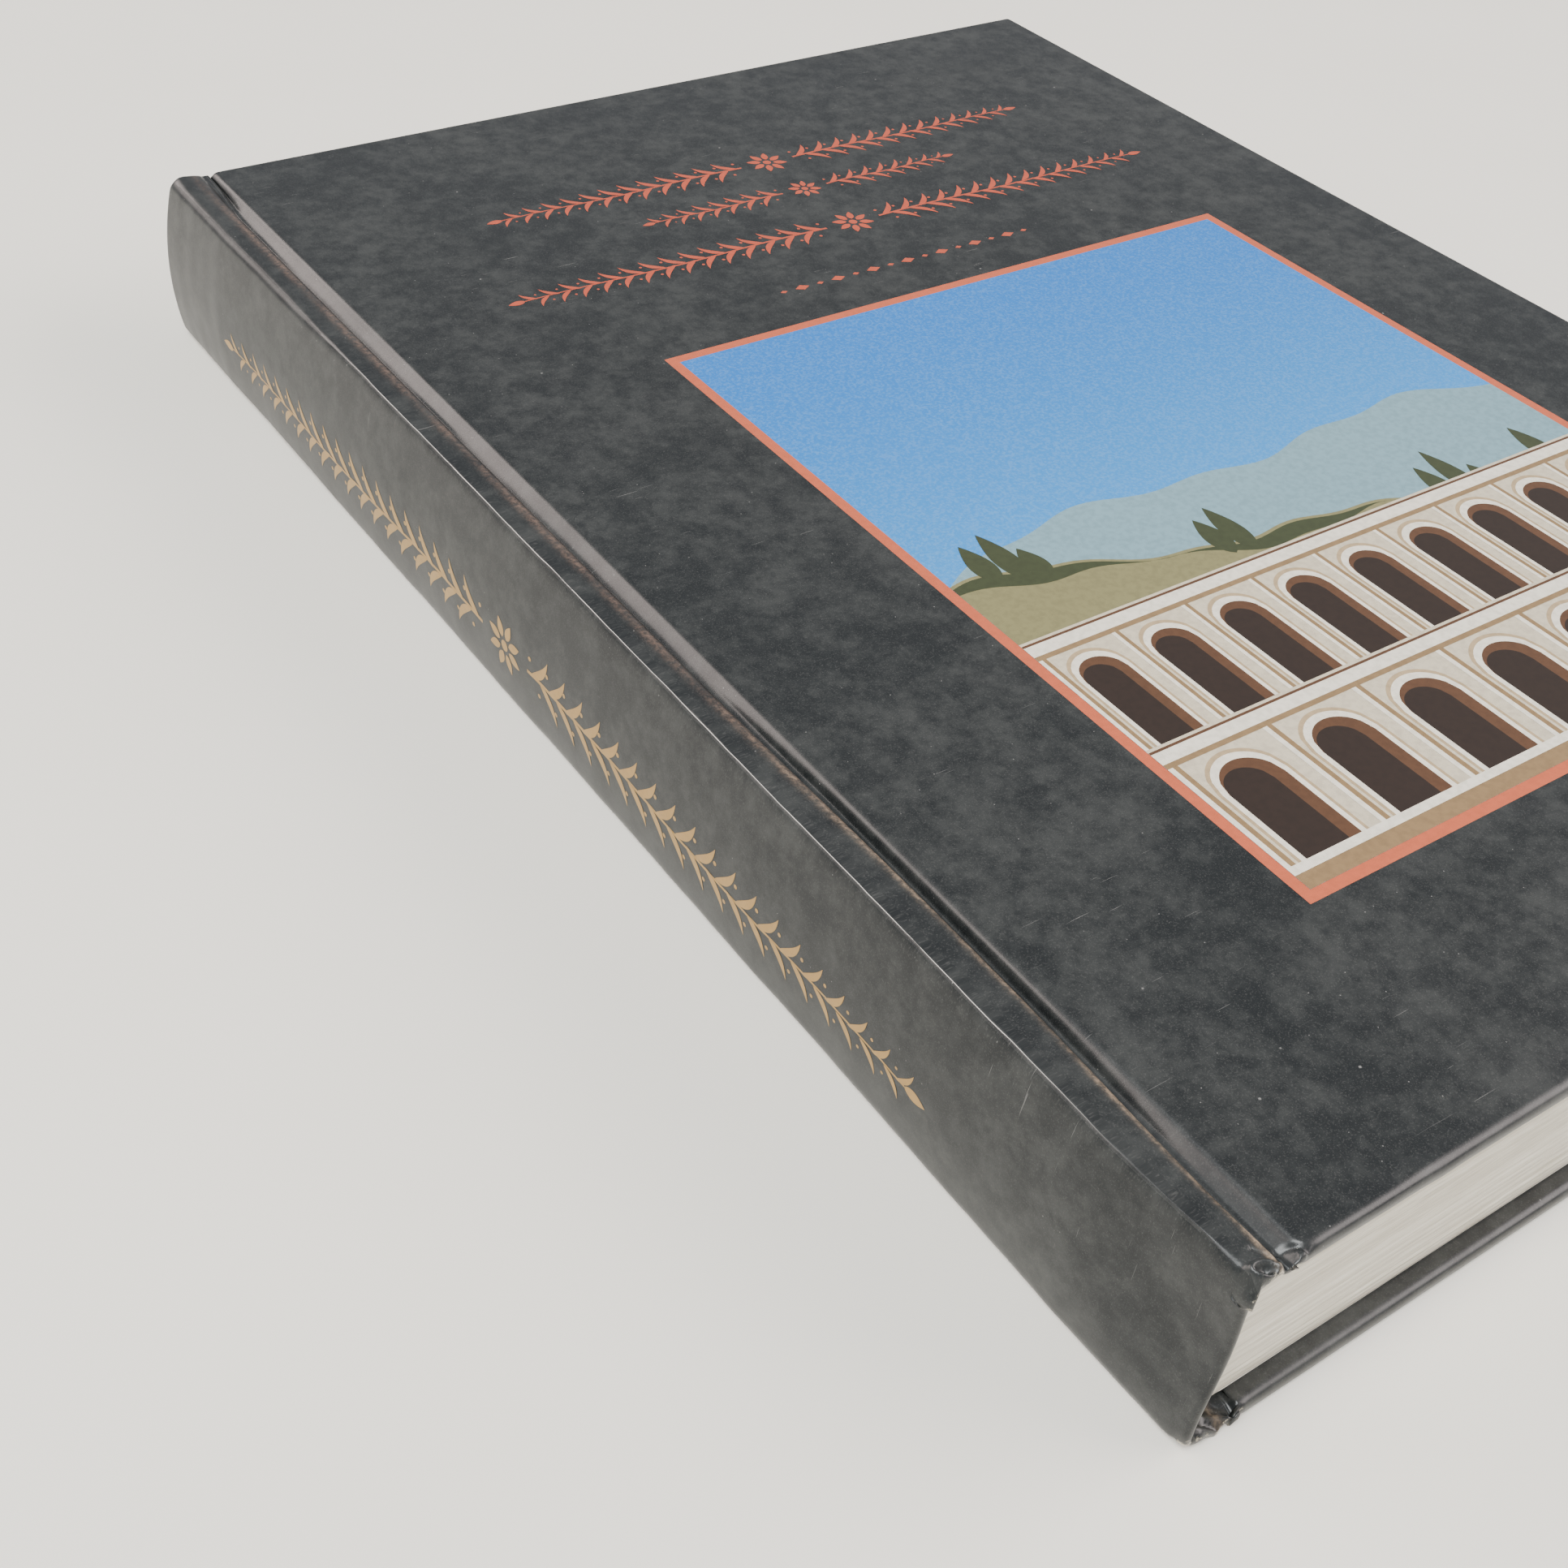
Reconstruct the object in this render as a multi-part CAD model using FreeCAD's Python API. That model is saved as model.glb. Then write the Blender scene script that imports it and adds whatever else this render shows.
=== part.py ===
import FreeCAD, Part

# A large hardcover book, lying closed on its back cover.
# Millimetres. Z is up, Y runs from tail to head along the spine, and the spine is on the -X side.
# The origin is on the surface that the book lies on, under the middle of its box.
# A depth is measured inwards from the outside of the case, square to its surface.
import math
import os

from FreeCAD import Vector

# Leaves
leaf_width = 210.0
leaf_height = 297.0
leaf_stack = 26.3
endpaper_thickness = 0.25

# Case
board_thickness = 2.5
cover_paper_thickness = 0.25
inlay_thickness = 1.0
lining_thickness = 0.4
head_and_tail_square = 3.0
fore_edge_square = 3.5
turn_in_width = 16.0
pastedown_margin = 3.0
board_corner_radius = 1.5
board_edge_radius = 0.65
joint_edge_radius = 1.5

# Spine and French grooves
spine_radius = 85.0
ridge_radius = 2.2
shoulder_width = 5.55
shoulder_radius = 2.2
groove_radius = 0.9
groove_slope_deg = 65.0
joint_width = 9.95
hollow_gap = 0.4
lining_setback = 20.0

# Covers' hinge lines
hinge_from_spine = 8.8
hinge_rise = 0.15
hinge_slit = 0.3

# Torn foot of the spine
tear_length = 5.0
tear_height = 3.2
tear_depth = 1.1

# Heights, from the surface up
turn_in_layer = cover_paper_thickness
cover_thickness = cover_paper_thickness + board_thickness + turn_in_layer + endpaper_thickness
overall_thickness = leaf_stack + 2 * (endpaper_thickness + cover_thickness)
mid_height = overall_thickness / 2
board_top = overall_thickness - cover_paper_thickness
board_bottom = board_top - board_thickness
turn_in_bottom = board_bottom - turn_in_layer
pastedown_bottom = turn_in_bottom - endpaper_thickness
flyleaf_bottom = pastedown_bottom - endpaper_thickness
groove_depth = cover_thickness - lining_thickness - cover_paper_thickness

# Depths, from the outside of the spine inwards
inlay_back = cover_paper_thickness + inlay_thickness
leaf_back = inlay_back + hollow_gap + lining_thickness


def sagitta(radius, half_height):
    """How far an arc of the spine falls back from its crown at a height above or below the middle."""
    return radius - math.sqrt(radius ** 2 - half_height ** 2)


# Widths and lengths
stack_half = leaf_stack / 2
leaf_setback = leaf_back + sagitta(spine_radius - leaf_back, stack_half)
overall_width = leaf_setback + leaf_width + fore_edge_square
overall_length = leaf_height + 2 * head_and_tail_square
spine_x = -overall_width / 2
fore_x = overall_width / 2
tail_y = -overall_length / 2
leaf_tail_y = -leaf_height / 2
spine_centre_x = spine_x + spine_radius
board_x = spine_x + joint_width
hinge_x = spine_x + hinge_from_spine
slit_x = hinge_x + hinge_slit
groove_slope = math.radians(groove_slope_deg)


def point(x, z, y=tail_y):
    return Vector(x, y, z)


def plate(x0, x1, y0, y1, z0, z1):
    return Part.makeBox(x1 - x0, y1 - y0, z1 - z0, Vector(x0, y0, z0))


def line(start, end):
    return Part.LineSegment(point(*start), point(*end)).toShape()


def arc(start, middle, end):
    return Part.Arc(point(*start), point(*middle), point(*end)).toShape()


def on_circle(centre, radius, angle):
    return (centre[0] + radius * math.cos(angle), centre[1] + radius * math.sin(angle))


def circle_arc(centre, radius, first, last):
    middle = (first + last) / 2
    return arc(*(on_circle(centre, radius, angle) for angle in (first, middle, last)))


def ridge_centre():
    """Centre of the rounded ridge, which touches the spine's arc and the flat of the shoulder."""
    rise = mid_height - ridge_radius
    run = math.sqrt((spine_radius - ridge_radius) ** 2 - rise ** 2)
    return (spine_centre_x - run, overall_thickness - ridge_radius)


def groove_centre():
    """Centre of the curve at the groove's bottom, where the slope off the shoulder flattens out."""
    fall = (shoulder_radius + groove_radius) * (1 - math.cos(groove_slope))
    slope_length = (groove_depth - fall) / math.sin(groove_slope)
    run = (shoulder_radius + groove_radius) * math.sin(groove_slope) + slope_length * math.cos(groove_slope)
    return (spine_x + shoulder_width + run, overall_thickness - groove_depth + groove_radius)


def shoulder_path(depth):
    """Front half of the section: groove bottom, slope, shoulder, ridge, up to the spine's own arc."""
    bottom = groove_centre()
    shoulder = (spine_x + shoulder_width, overall_thickness - shoulder_radius)
    ridge = ridge_centre()
    slope_up = math.pi / 2 - groove_slope
    slope_down = slope_up + math.pi
    groove_round = groove_radius + depth
    shoulder_round = shoulder_radius - depth
    ridge_round = ridge_radius - depth
    ridge_end = math.atan2(ridge[1] - mid_height, ridge[0] - spine_centre_x)
    flat_z = overall_thickness - depth
    groove_z = bottom[1] - groove_round
    return [
        line((hinge_x, groove_z), (bottom[0], groove_z)),
        circle_arc(bottom, groove_round, 1.5 * math.pi, slope_down),
        line(on_circle(bottom, groove_round, slope_down), on_circle(shoulder, shoulder_round, slope_up)),
        circle_arc(shoulder, shoulder_round, slope_up, math.pi / 2),
        line((shoulder[0], flat_z), (ridge[0], flat_z)),
        circle_arc(ridge, ridge_round, math.pi / 2, ridge_end),
    ], ridge_end


def case_path(depth):
    """Whole section of the case's back, from the front groove round the spine to the back groove."""
    upper, ridge_end = shoulder_path(depth)
    middle = Vector(0, 0, mid_height)
    lower = [edge.mirror(middle, Vector(0, 0, 1)) for edge in upper]
    back = circle_arc((spine_centre_x, mid_height), spine_radius - depth, ridge_end, 2 * math.pi - ridge_end)
    return upper + [back] + lower


def spine_paper_section():
    """The cover paper round the spine: the section's path at the outside and one thickness in."""
    groove_z = overall_thickness - groove_depth
    inner_z = groove_z - cover_paper_thickness
    ends = [
        line((hinge_x, groove_z), (hinge_x, inner_z)),
        line((hinge_x, overall_thickness - groove_z), (hinge_x, overall_thickness - inner_z)),
    ]
    edges = case_path(0) + case_path(cover_paper_thickness) + ends
    return Part.Face(Part.Wire(Part.__sortEdges__(edges)))


def curved_strip(outer_depth, inner_depth, half_height):
    """A strip that follows the spine's arc between two depths, with its long edges cut level."""
    centre = (spine_centre_x, mid_height)
    arcs = []
    for radius in (spine_radius - outer_depth, spine_radius - inner_depth):
        spread = math.asin(half_height / radius)
        arcs.append(circle_arc(centre, radius, math.pi - spread, math.pi + spread))
    outer, inner = arcs
    ends = [Part.makeLine(outer.Vertexes[i].Point, inner.Vertexes[i].Point) for i in (0, 1)]
    return Part.Face(Part.Wire(Part.__sortEdges__([outer, inner] + ends)))


def along_spine(face, start_y, length):
    """The section pushed along the spine, from its own plane at the tail."""
    solid = face.extrude(Vector(0, length, 0))
    solid.translate(Vector(0, start_y - tail_y, 0))
    return solid


def back_x(depth, half_height):
    return spine_x + depth + sagitta(spine_radius - depth, half_height)


def make_text_block():
    """All leaves as one solid. They are equally wide, so the fore edge repeats the curve of the back."""
    back = circle_arc(
        (spine_centre_x, mid_height),
        spine_radius - leaf_back,
        math.pi - math.asin(stack_half / (spine_radius - leaf_back)),
        math.pi + math.asin(stack_half / (spine_radius - leaf_back)),
    )
    fore = back.copy()
    fore.translate(Vector(leaf_width, 0, 0))
    sides = [Part.makeLine(back.Vertexes[i].Point, fore.Vertexes[i].Point) for i in (0, 1)]
    section = Part.Face(Part.Wire(Part.__sortEdges__([back, fore] + sides)))
    return along_spine(section, leaf_tail_y, leaf_height)


def make_spine_lining():
    """Cloth glued to the backs of the leaves, with a wing over each flyleaf as far as the groove."""
    start_y = tail_y + head_and_tail_square + lining_setback
    length = leaf_height - 2 * lining_setback
    wing_bottom = overall_thickness - cover_thickness
    half_height = wing_bottom + lining_thickness - mid_height
    lining = along_spine(curved_strip(leaf_back - lining_thickness, leaf_back, half_height), start_y, length)
    wing_x = back_x(leaf_back - lining_thickness, half_height)
    for z in (wing_bottom, cover_thickness - lining_thickness):
        lining = lining.fuse(plate(wing_x, hinge_x, start_y, start_y + length, z, z + lining_thickness))
    stack = plate(
        back_x(leaf_back, wing_bottom - mid_height), fore_x, start_y, start_y + length, cover_thickness, wing_bottom
    )
    return lining.cut(stack).removeSplitter()


def make_spine_inlay():
    """The card that stiffens the spine, curved with it, inside the cover paper and its turned-in ends."""
    section = curved_strip(cover_paper_thickness, inlay_back, mid_height - ridge_radius)
    inlay = along_spine(section, tail_y + cover_paper_thickness, overall_length - 2 * cover_paper_thickness)
    return inlay.cut(tear(tear_depth - cover_paper_thickness))


def tear(depth):
    """The worn-away wedge at the lower end of the spine, where the case has been dropped on its corner."""
    reach = depth + sagitta(spine_radius, mid_height)
    corners = [
        Vector(spine_x - 1, tail_y - 1, -1),
        Vector(spine_x + reach + 1, tail_y - 1, -1),
        Vector(spine_x - 1, tail_y + tear_length + 1, -1),
        Vector(spine_x - 1, tail_y - 1, tear_height + 1),
    ]
    faces = [
        Part.Face(Part.makePolygon([corners[a], corners[b], corners[c], corners[a]]))
        for a, b, c in ((0, 1, 2), (0, 1, 3), (0, 2, 3), (1, 2, 3))
    ]
    return Part.Solid(Part.Shell(faces))


def make_spine_cover_paper():
    """Printed paper round the spine and shoulders into both grooves, turned in over the card's ends."""
    paper = along_spine(spine_paper_section(), tail_y, overall_length)
    half_height = mid_height - ridge_radius
    inner_depth = inlay_back + cover_paper_thickness
    fold = curved_strip(cover_paper_thickness / 2, inner_depth, half_height)
    flap = curved_strip(inlay_back, inner_depth, half_height)
    head_y = tail_y + overall_length
    paper = paper.fuse(along_spine(fold, tail_y, cover_paper_thickness))
    paper = paper.fuse(along_spine(fold, head_y - cover_paper_thickness, cover_paper_thickness))
    paper = paper.fuse(along_spine(flap, tail_y, turn_in_width))
    paper = paper.fuse(along_spine(flap, head_y - turn_in_width, turn_in_width))
    return paper.removeSplitter().cut(tear(tear_depth))


def edges_at(solid, wanted):
    """The straight edges of a box whose middle passes a test."""
    return [edge for edge in solid.Edges if wanted(edge.CenterOfMass)]


def rounded_board(growth, bottom):
    """A cover board's form, or the cover paper's outside when grown by the paper, with its edges rounded."""
    x0, x1 = board_x - growth, fore_x - cover_paper_thickness + growth
    y0, y1 = tail_y + cover_paper_thickness - growth, -tail_y - cover_paper_thickness + growth
    top = board_top + growth
    slab = plate(x0, x1, y0, y1, bottom, top)
    middle_z = (bottom + top) / 2
    corners = edges_at(slab, lambda c: abs(c.z - middle_z) < 0.01 and c.x > 0)
    corner_round = board_corner_radius - cover_paper_thickness + growth
    slab = slab.makeFillet(corner_round, corners)
    hinge_side = edges_at(slab, lambda c: abs(c.x - x0) < 0.01 and abs(c.z - top) < 0.01)
    slab = slab.makeFillet(joint_edge_radius - cover_paper_thickness + growth, hinge_side)
    outside = edges_at(slab, lambda c: abs(c.z - top) < 0.01 and c.x > x0 + joint_edge_radius + 1)
    return slab.makeFillet(board_edge_radius + growth, outside)


def make_front_board():
    return rounded_board(0, board_bottom)


def make_front_cover_paper():
    """Printed paper over the front board, turned in on three sides, its fourth side down in the groove."""
    paper = rounded_board(cover_paper_thickness, turn_in_bottom)
    window = plate(
        board_x - 2 * cover_paper_thickness,
        fore_x - turn_in_width,
        tail_y + turn_in_width,
        -tail_y - turn_in_width,
        turn_in_bottom,
        board_bottom,
    )
    groove_z = overall_thickness - groove_depth
    strip = plate(slit_x, board_x, tail_y, -tail_y, groove_z - cover_paper_thickness, groove_z)
    return paper.cut(make_front_board()).cut(window).fuse(strip).removeSplitter()


def make_front_pastedown():
    """Endpaper glued inside the front cover. Its raised field reaches the board between the turn-ins."""
    leaf = plate(
        board_x,
        fore_x - pastedown_margin,
        tail_y + pastedown_margin,
        -tail_y - pastedown_margin,
        pastedown_bottom,
        turn_in_bottom,
    )
    field = plate(
        board_x,
        fore_x - turn_in_width,
        tail_y + turn_in_width,
        -tail_y - turn_in_width,
        pastedown_bottom,
        board_bottom,
    )
    return leaf.fuse(field).removeSplitter()


def make_front_flyleaf():
    """The endpaper's free half, which lies on the leaves and is as large as they are."""
    start_x = back_x(leaf_back, stack_half)
    return plate(
        start_x, start_x + leaf_width, leaf_tail_y, -leaf_tail_y, flyleaf_bottom, flyleaf_bottom + endpaper_thickness
    )


def to_back(shape):
    """The same piece on the back cover."""
    return shape.mirror(Vector(0, 0, mid_height), Vector(0, 0, 1))


def save(name, shape):
    solids = shape.Solids
    if len(solids) != 1 or not shape.isValid():
        raise ValueError(f"{name}: {len(solids)} solids, valid {shape.isValid()}")
    solids[0].exportStep(f"parts/{name}.step")
    print(f"{name}: {solids[0].Volume:.1f} mm3")


def main():
    os.makedirs("parts", exist_ok=True)
    save("text_block", make_text_block())
    save("spine_lining", make_spine_lining())
    save("spine_inlay", make_spine_inlay())
    save("spine_cover_paper", make_spine_cover_paper())
    front_pieces = {
        "board": make_front_board(),
        "cover_paper": make_front_cover_paper(),
        "pastedown": make_front_pastedown(),
        "flyleaf": make_front_flyleaf(),
    }
    for name, shape in front_pieces.items():
        save(f"front_{name}", shape)
        save(f"back_{name}", to_back(shape))
    hinge_z = overall_thickness + hinge_rise
    print(f"overall {overall_width:.3f} x {overall_length:.3f} x {overall_thickness:.3f}")
    print(f"front hinge line x {hinge_x:.3f} z {hinge_z:.3f}, back hinge line z {-hinge_rise:.3f}")


main()
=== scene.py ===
import math

import bpy
import numpy as np
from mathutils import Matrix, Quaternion, Vector


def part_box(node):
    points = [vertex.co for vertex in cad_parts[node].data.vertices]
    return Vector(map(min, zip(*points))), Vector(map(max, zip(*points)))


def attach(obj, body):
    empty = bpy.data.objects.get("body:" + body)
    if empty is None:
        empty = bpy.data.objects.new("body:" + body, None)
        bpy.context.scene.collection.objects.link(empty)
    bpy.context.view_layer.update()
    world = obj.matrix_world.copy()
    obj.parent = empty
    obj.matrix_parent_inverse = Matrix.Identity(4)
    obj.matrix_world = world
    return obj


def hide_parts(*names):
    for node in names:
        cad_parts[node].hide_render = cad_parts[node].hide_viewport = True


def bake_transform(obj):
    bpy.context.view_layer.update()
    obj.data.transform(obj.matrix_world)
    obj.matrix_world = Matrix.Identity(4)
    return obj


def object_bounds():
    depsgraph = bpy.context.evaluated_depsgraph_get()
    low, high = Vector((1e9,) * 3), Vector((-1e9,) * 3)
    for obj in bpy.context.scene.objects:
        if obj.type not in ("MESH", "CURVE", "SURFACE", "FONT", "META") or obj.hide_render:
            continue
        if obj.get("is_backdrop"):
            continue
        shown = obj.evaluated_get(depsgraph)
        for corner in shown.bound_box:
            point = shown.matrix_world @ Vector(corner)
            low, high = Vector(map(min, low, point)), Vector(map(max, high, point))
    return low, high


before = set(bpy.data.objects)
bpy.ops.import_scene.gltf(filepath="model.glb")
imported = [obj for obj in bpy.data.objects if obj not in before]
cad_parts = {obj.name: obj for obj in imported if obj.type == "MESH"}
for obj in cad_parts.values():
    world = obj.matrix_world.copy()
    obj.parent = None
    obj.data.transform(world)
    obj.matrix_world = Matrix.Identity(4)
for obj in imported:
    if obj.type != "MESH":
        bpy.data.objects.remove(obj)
cad_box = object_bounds()

# Lengths in this script are millimetres in the frame's axes, and a mesh is scaled to metres as it is
# made. In materials, which measure in metres, a name that ends in _mm is a length in millimetres.
MM = 0.001

ROOT = "pages_and_spine"
FRONT = "front_cover"
BACK = "back_cover"


def box_mm(node):
    """A node's lowest and highest corners in millimetres."""
    return [np.array(corner, float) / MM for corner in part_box(node)]


# Sizes read from the frame
cover_low, cover_high = box_mm("front_cover_paper")
board_low, board_high = box_mm("front_board")
block_low, block_high = box_mm("text_block")
pastedown_low, pastedown_high = box_mm("front_pastedown")
flyleaf_low, flyleaf_high = box_mm("front_flyleaf")
lining_low, lining_high = box_mm("spine_lining")

TAIL = cover_low[1]
HEAD = cover_high[1]
FORE = cover_high[0]
TOP = cover_high[2]
MIDDLE = TOP / 2
LENGTH = HEAD - TAIL
HINGE_X = lining_high[0]
BOARD_X = board_low[0]
PAPER = cover_high[2] - board_high[2]
COVER_DEPTH = cover_high[2] - (board_low[2] - PAPER)

# Section of the spine and grooves
SPINE_X = -FORE
SPINE_RADIUS = 85.0
RIDGE_RADIUS = 2.2
SHOULDER_WIDTH = 5.55
SHOULDER_RADIUS = 2.2
GROOVE_RADIUS = 0.9
GROOVE_SLOPE = math.radians(65.0)
GROOVE_DEPTH = 2.6
WALL_RADIUS = 0.6
BOARD_ROUND = 1.5
SPINE_STACK = 1.5
RIDGE_X = SPINE_X + 1.8
# From the centre of the spine's arc to the centre of the ridge's, which touches it from inside
RIDGE_RISE = MIDDLE - RIDGE_RADIUS
RIDGE_RUN = math.sqrt((SPINE_RADIUS - RIDGE_RADIUS) ** 2 - RIDGE_RISE**2)

# Edges of the covers
EDGE_INSET = 1.5
EDGE_ROUND = 1.3
TURN_IN = 14.5
JOIN_WIDTH = 4.0


def steps(start, end, count):
    return np.linspace(start, end, count)


def smooth(low, high, value):
    """0 below low, 1 above high, and a smooth S between them."""
    t = np.clip((value - low) / (high - low), 0, 1)
    return t * t * (3 - 2 * t)


def bell(value, width):
    return np.exp(-(value / width) ** 2)


def arc_line(centre, radius, first, last, count):
    """Points on a circle in the x-z plane between two angles in degrees."""
    angle = np.radians(steps(first, last, count))
    return np.stack([centre[0] + radius * np.cos(angle), centre[1] + radius * np.sin(angle)], 1)


def straight_line(start, end, count):
    return np.stack([steps(start[0], end[0], count), steps(start[1], end[1], count)], 1)


def path(*stretches):
    """Stretches joined into one line, each shared end point kept once."""
    return np.concatenate([stretches[0]] + [s[1:] for s in stretches[1:]])


def spine_arc_x(depth, z):
    """X of the spine's arc at a depth under the outer face."""
    radius = SPINE_RADIUS - depth
    return SPINE_X + SPINE_RADIUS - np.sqrt(radius**2 - (z - MIDDLE) ** 2)


def spine_path():
    """Outer section of the spine paper, from the front groove round the spine to the back groove."""
    arc_centre = (SPINE_X + SPINE_RADIUS, MIDDLE)
    ridge = (arc_centre[0] - RIDGE_RUN, TOP - RIDGE_RADIUS)
    ridge_end = math.degrees(math.atan2(RIDGE_RISE, -RIDGE_RUN))
    slope_deg = math.degrees(GROOVE_SLOPE)
    shoulder = (SPINE_X + SHOULDER_WIDTH, TOP - SHOULDER_RADIUS)
    radii = SHOULDER_RADIUS + GROOVE_RADIUS
    slope_length = (GROOVE_DEPTH - radii * (1 - math.cos(GROOVE_SLOPE))) / math.sin(GROOVE_SLOPE)
    width = radii * math.sin(GROOVE_SLOPE) + slope_length * math.cos(GROOVE_SLOPE)
    bottom = (shoulder[0] + width, TOP - GROOVE_DEPTH + GROOVE_RADIUS)
    low_curve = arc_line(bottom, GROOVE_RADIUS, 270, 270 - slope_deg, 6)
    high_curve = arc_line(shoulder, SHOULDER_RADIUS, 90 - slope_deg, 90, 12)
    upper = path(
        straight_line((HINGE_X, TOP - GROOVE_DEPTH), low_curve[0], 4),
        low_curve,
        straight_line(low_curve[-1], high_curve[0], 5),
        high_curve,
        straight_line(high_curve[-1], (ridge[0], TOP), 14),
        arc_line(ridge, RIDGE_RADIUS, 90, ridge_end, 19),
    )
    face = arc_line(arc_centre, SPINE_RADIUS, ridge_end, 360 - ridge_end, 41)
    lower = upper[::-1] * [1, -1] + [0, TOP]
    return path(upper, face, lower)


def spine_lining_path(outer):
    """Where each point of the spine section ends up when the paper is turned in at head and tail."""
    z = np.clip(outer[:, 1], COVER_DEPTH, TOP - COVER_DEPTH)
    return np.stack([np.maximum(outer[:, 0], spine_arc_x(SPINE_STACK, z)), z], 1)


def joint_path():
    """Outer section of the front cover paper from the groove's bottom up the board's edge to its top."""
    wall_x = BOARD_X - PAPER
    groove_z = TOP - GROOVE_DEPTH
    return path(
        straight_line((HINGE_X, groove_z), (wall_x - WALL_RADIUS, groove_z), 5),
        arc_line((wall_x - WALL_RADIUS, groove_z + WALL_RADIUS), WALL_RADIUS, 270, 360, 8),
        straight_line((wall_x, groove_z + WALL_RADIUS), (wall_x, TOP - BOARD_ROUND), 5),
        arc_line((wall_x + BOARD_ROUND, TOP - BOARD_ROUND), BOARD_ROUND, 180, 90, 12),
        straight_line((wall_x + BOARD_ROUND, TOP), (wall_x + JOIN_WIDTH, TOP), 4),
    )


def edge_profile():
    """How the paper runs over an edge: parts of the rounding, the thickness and the distance inwards.

    Each row is (share of the radius outwards, share of the radius downwards, share of the straight drop,
    distance inwards under the edge). All are 0 at the inset line on the outer face.
    """
    angle = np.radians(steps(0, 90, 7))
    over = np.stack([np.sin(angle), 1 - np.cos(angle), 0 * angle, 0 * angle], 1)
    down = np.stack([np.ones(2), np.ones(2), np.array([0.35, 0.7]), np.zeros(2)], 1)
    under = np.stack([np.cos(angle), 1 + np.sin(angle), np.ones(7), 0 * angle], 1)
    inwards = np.array([0.5, 1.5, 3.0, 6.0, 10.0, EDGE_INSET - EDGE_ROUND + TURN_IN])
    flap = np.stack([0 * inwards, 0 * inwards + 2, 0 * inwards + 1, inwards], 1)
    return np.concatenate([[[-1.0, 0, 0, 0]], over, down, under, flap])


EDGE = edge_profile()


def over_edge(radius, thickness):
    """How far out and down each row of the profile lies, for each column's radius and thickness."""
    out = np.where(EDGE[:, :1] < 0, 0, EDGE_INSET - radius + EDGE[:, :1] * radius) - EDGE[:, 3:]
    down = EDGE[:, 1:2] * radius + EDGE[:, 2:3] * (thickness - 2 * radius)
    return out, down


def y_rows():
    """Rows along the spine between the inset lines, closer together at the ends, which use has marked most.
    """
    tail_end = TAIL + steps(EDGE_INSET, 6.0, 26)
    near_tail = TAIL + steps(6.3, 14, 24)
    tail_part = TAIL + steps(14.8, 40, 22)
    main = TAIL + steps(42, LENGTH - 30, 94)
    near_head = TAIL + steps(LENGTH - 28, LENGTH - EDGE_INSET, 28)
    rows = np.concatenate([tail_end, near_tail, tail_part, main, near_head, PANEL_Y])
    return np.unique(np.round(rows, 4))


# Printed fields on the front cover
PANEL_LEFT, PANEL_RIGHT = RIDGE_X + 48.9, RIDGE_X + 181.9
PANEL_BOTTOM, PANEL_TOP = TAIL + 38.5, TAIL + 197.1
BORDER = 2.0
PANEL_X = np.array([PANEL_LEFT, PANEL_LEFT + BORDER, PANEL_RIGHT - BORDER, PANEL_RIGHT])
PANEL_Y = np.array([PANEL_BOTTOM, PANEL_BOTTOM + BORDER, PANEL_TOP - BORDER, PANEL_TOP])
Y_ROWS = y_rows()


def sheet_grid(outer, turned):
    """A sheet over a section: columns follow the section, rows run from the tail's turn-in to the head's.

    A row on the outside is the section itself. A row of a turn-in is the section moved towards its
    turned-in place by the profile's depth, at the profile's distance from the end.
    """
    drop = turned - outer
    thickness = np.maximum(np.hypot(*drop.T), 0.02)
    radius = np.minimum(EDGE_ROUND, thickness / 2)
    out, down = over_edge(radius, thickness)
    share = down / thickness
    ends = outer[None] + drop[None] * share[..., None]
    tail = np.stack([ends[..., 0], TAIL + EDGE_INSET - out, ends[..., 1]], -1)
    head = np.stack([ends[..., 0], HEAD - EDGE_INSET + out, ends[..., 1]], -1)
    rows = Y_ROWS[1:-1]
    flat = np.broadcast_to(outer[None], (len(rows), *outer.shape))
    middle = np.stack([flat[..., 0], np.broadcast_to(rows[:, None], flat.shape[:2]), flat[..., 1]], -1)
    return np.concatenate([tail[::-1], middle, head])


def cover_columns():
    """Columns across the front cover's flat, with lines on the printed panel's edges."""
    start = BOARD_X - PAPER + JOIN_WIDTH
    end = FORE - EDGE_INSET
    return np.unique(np.round(np.concatenate([steps(start, end, 52), PANEL_X]), 4))


X_COLUMNS = cover_columns()


def flat_grid():
    """The flat top of the front cover as a grid of its columns and rows."""
    x, y = np.meshgrid(X_COLUMNS, Y_ROWS)
    return np.stack([x, y, np.full_like(x, TOP)], -1)


CORNER_TURNS = 10


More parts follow.
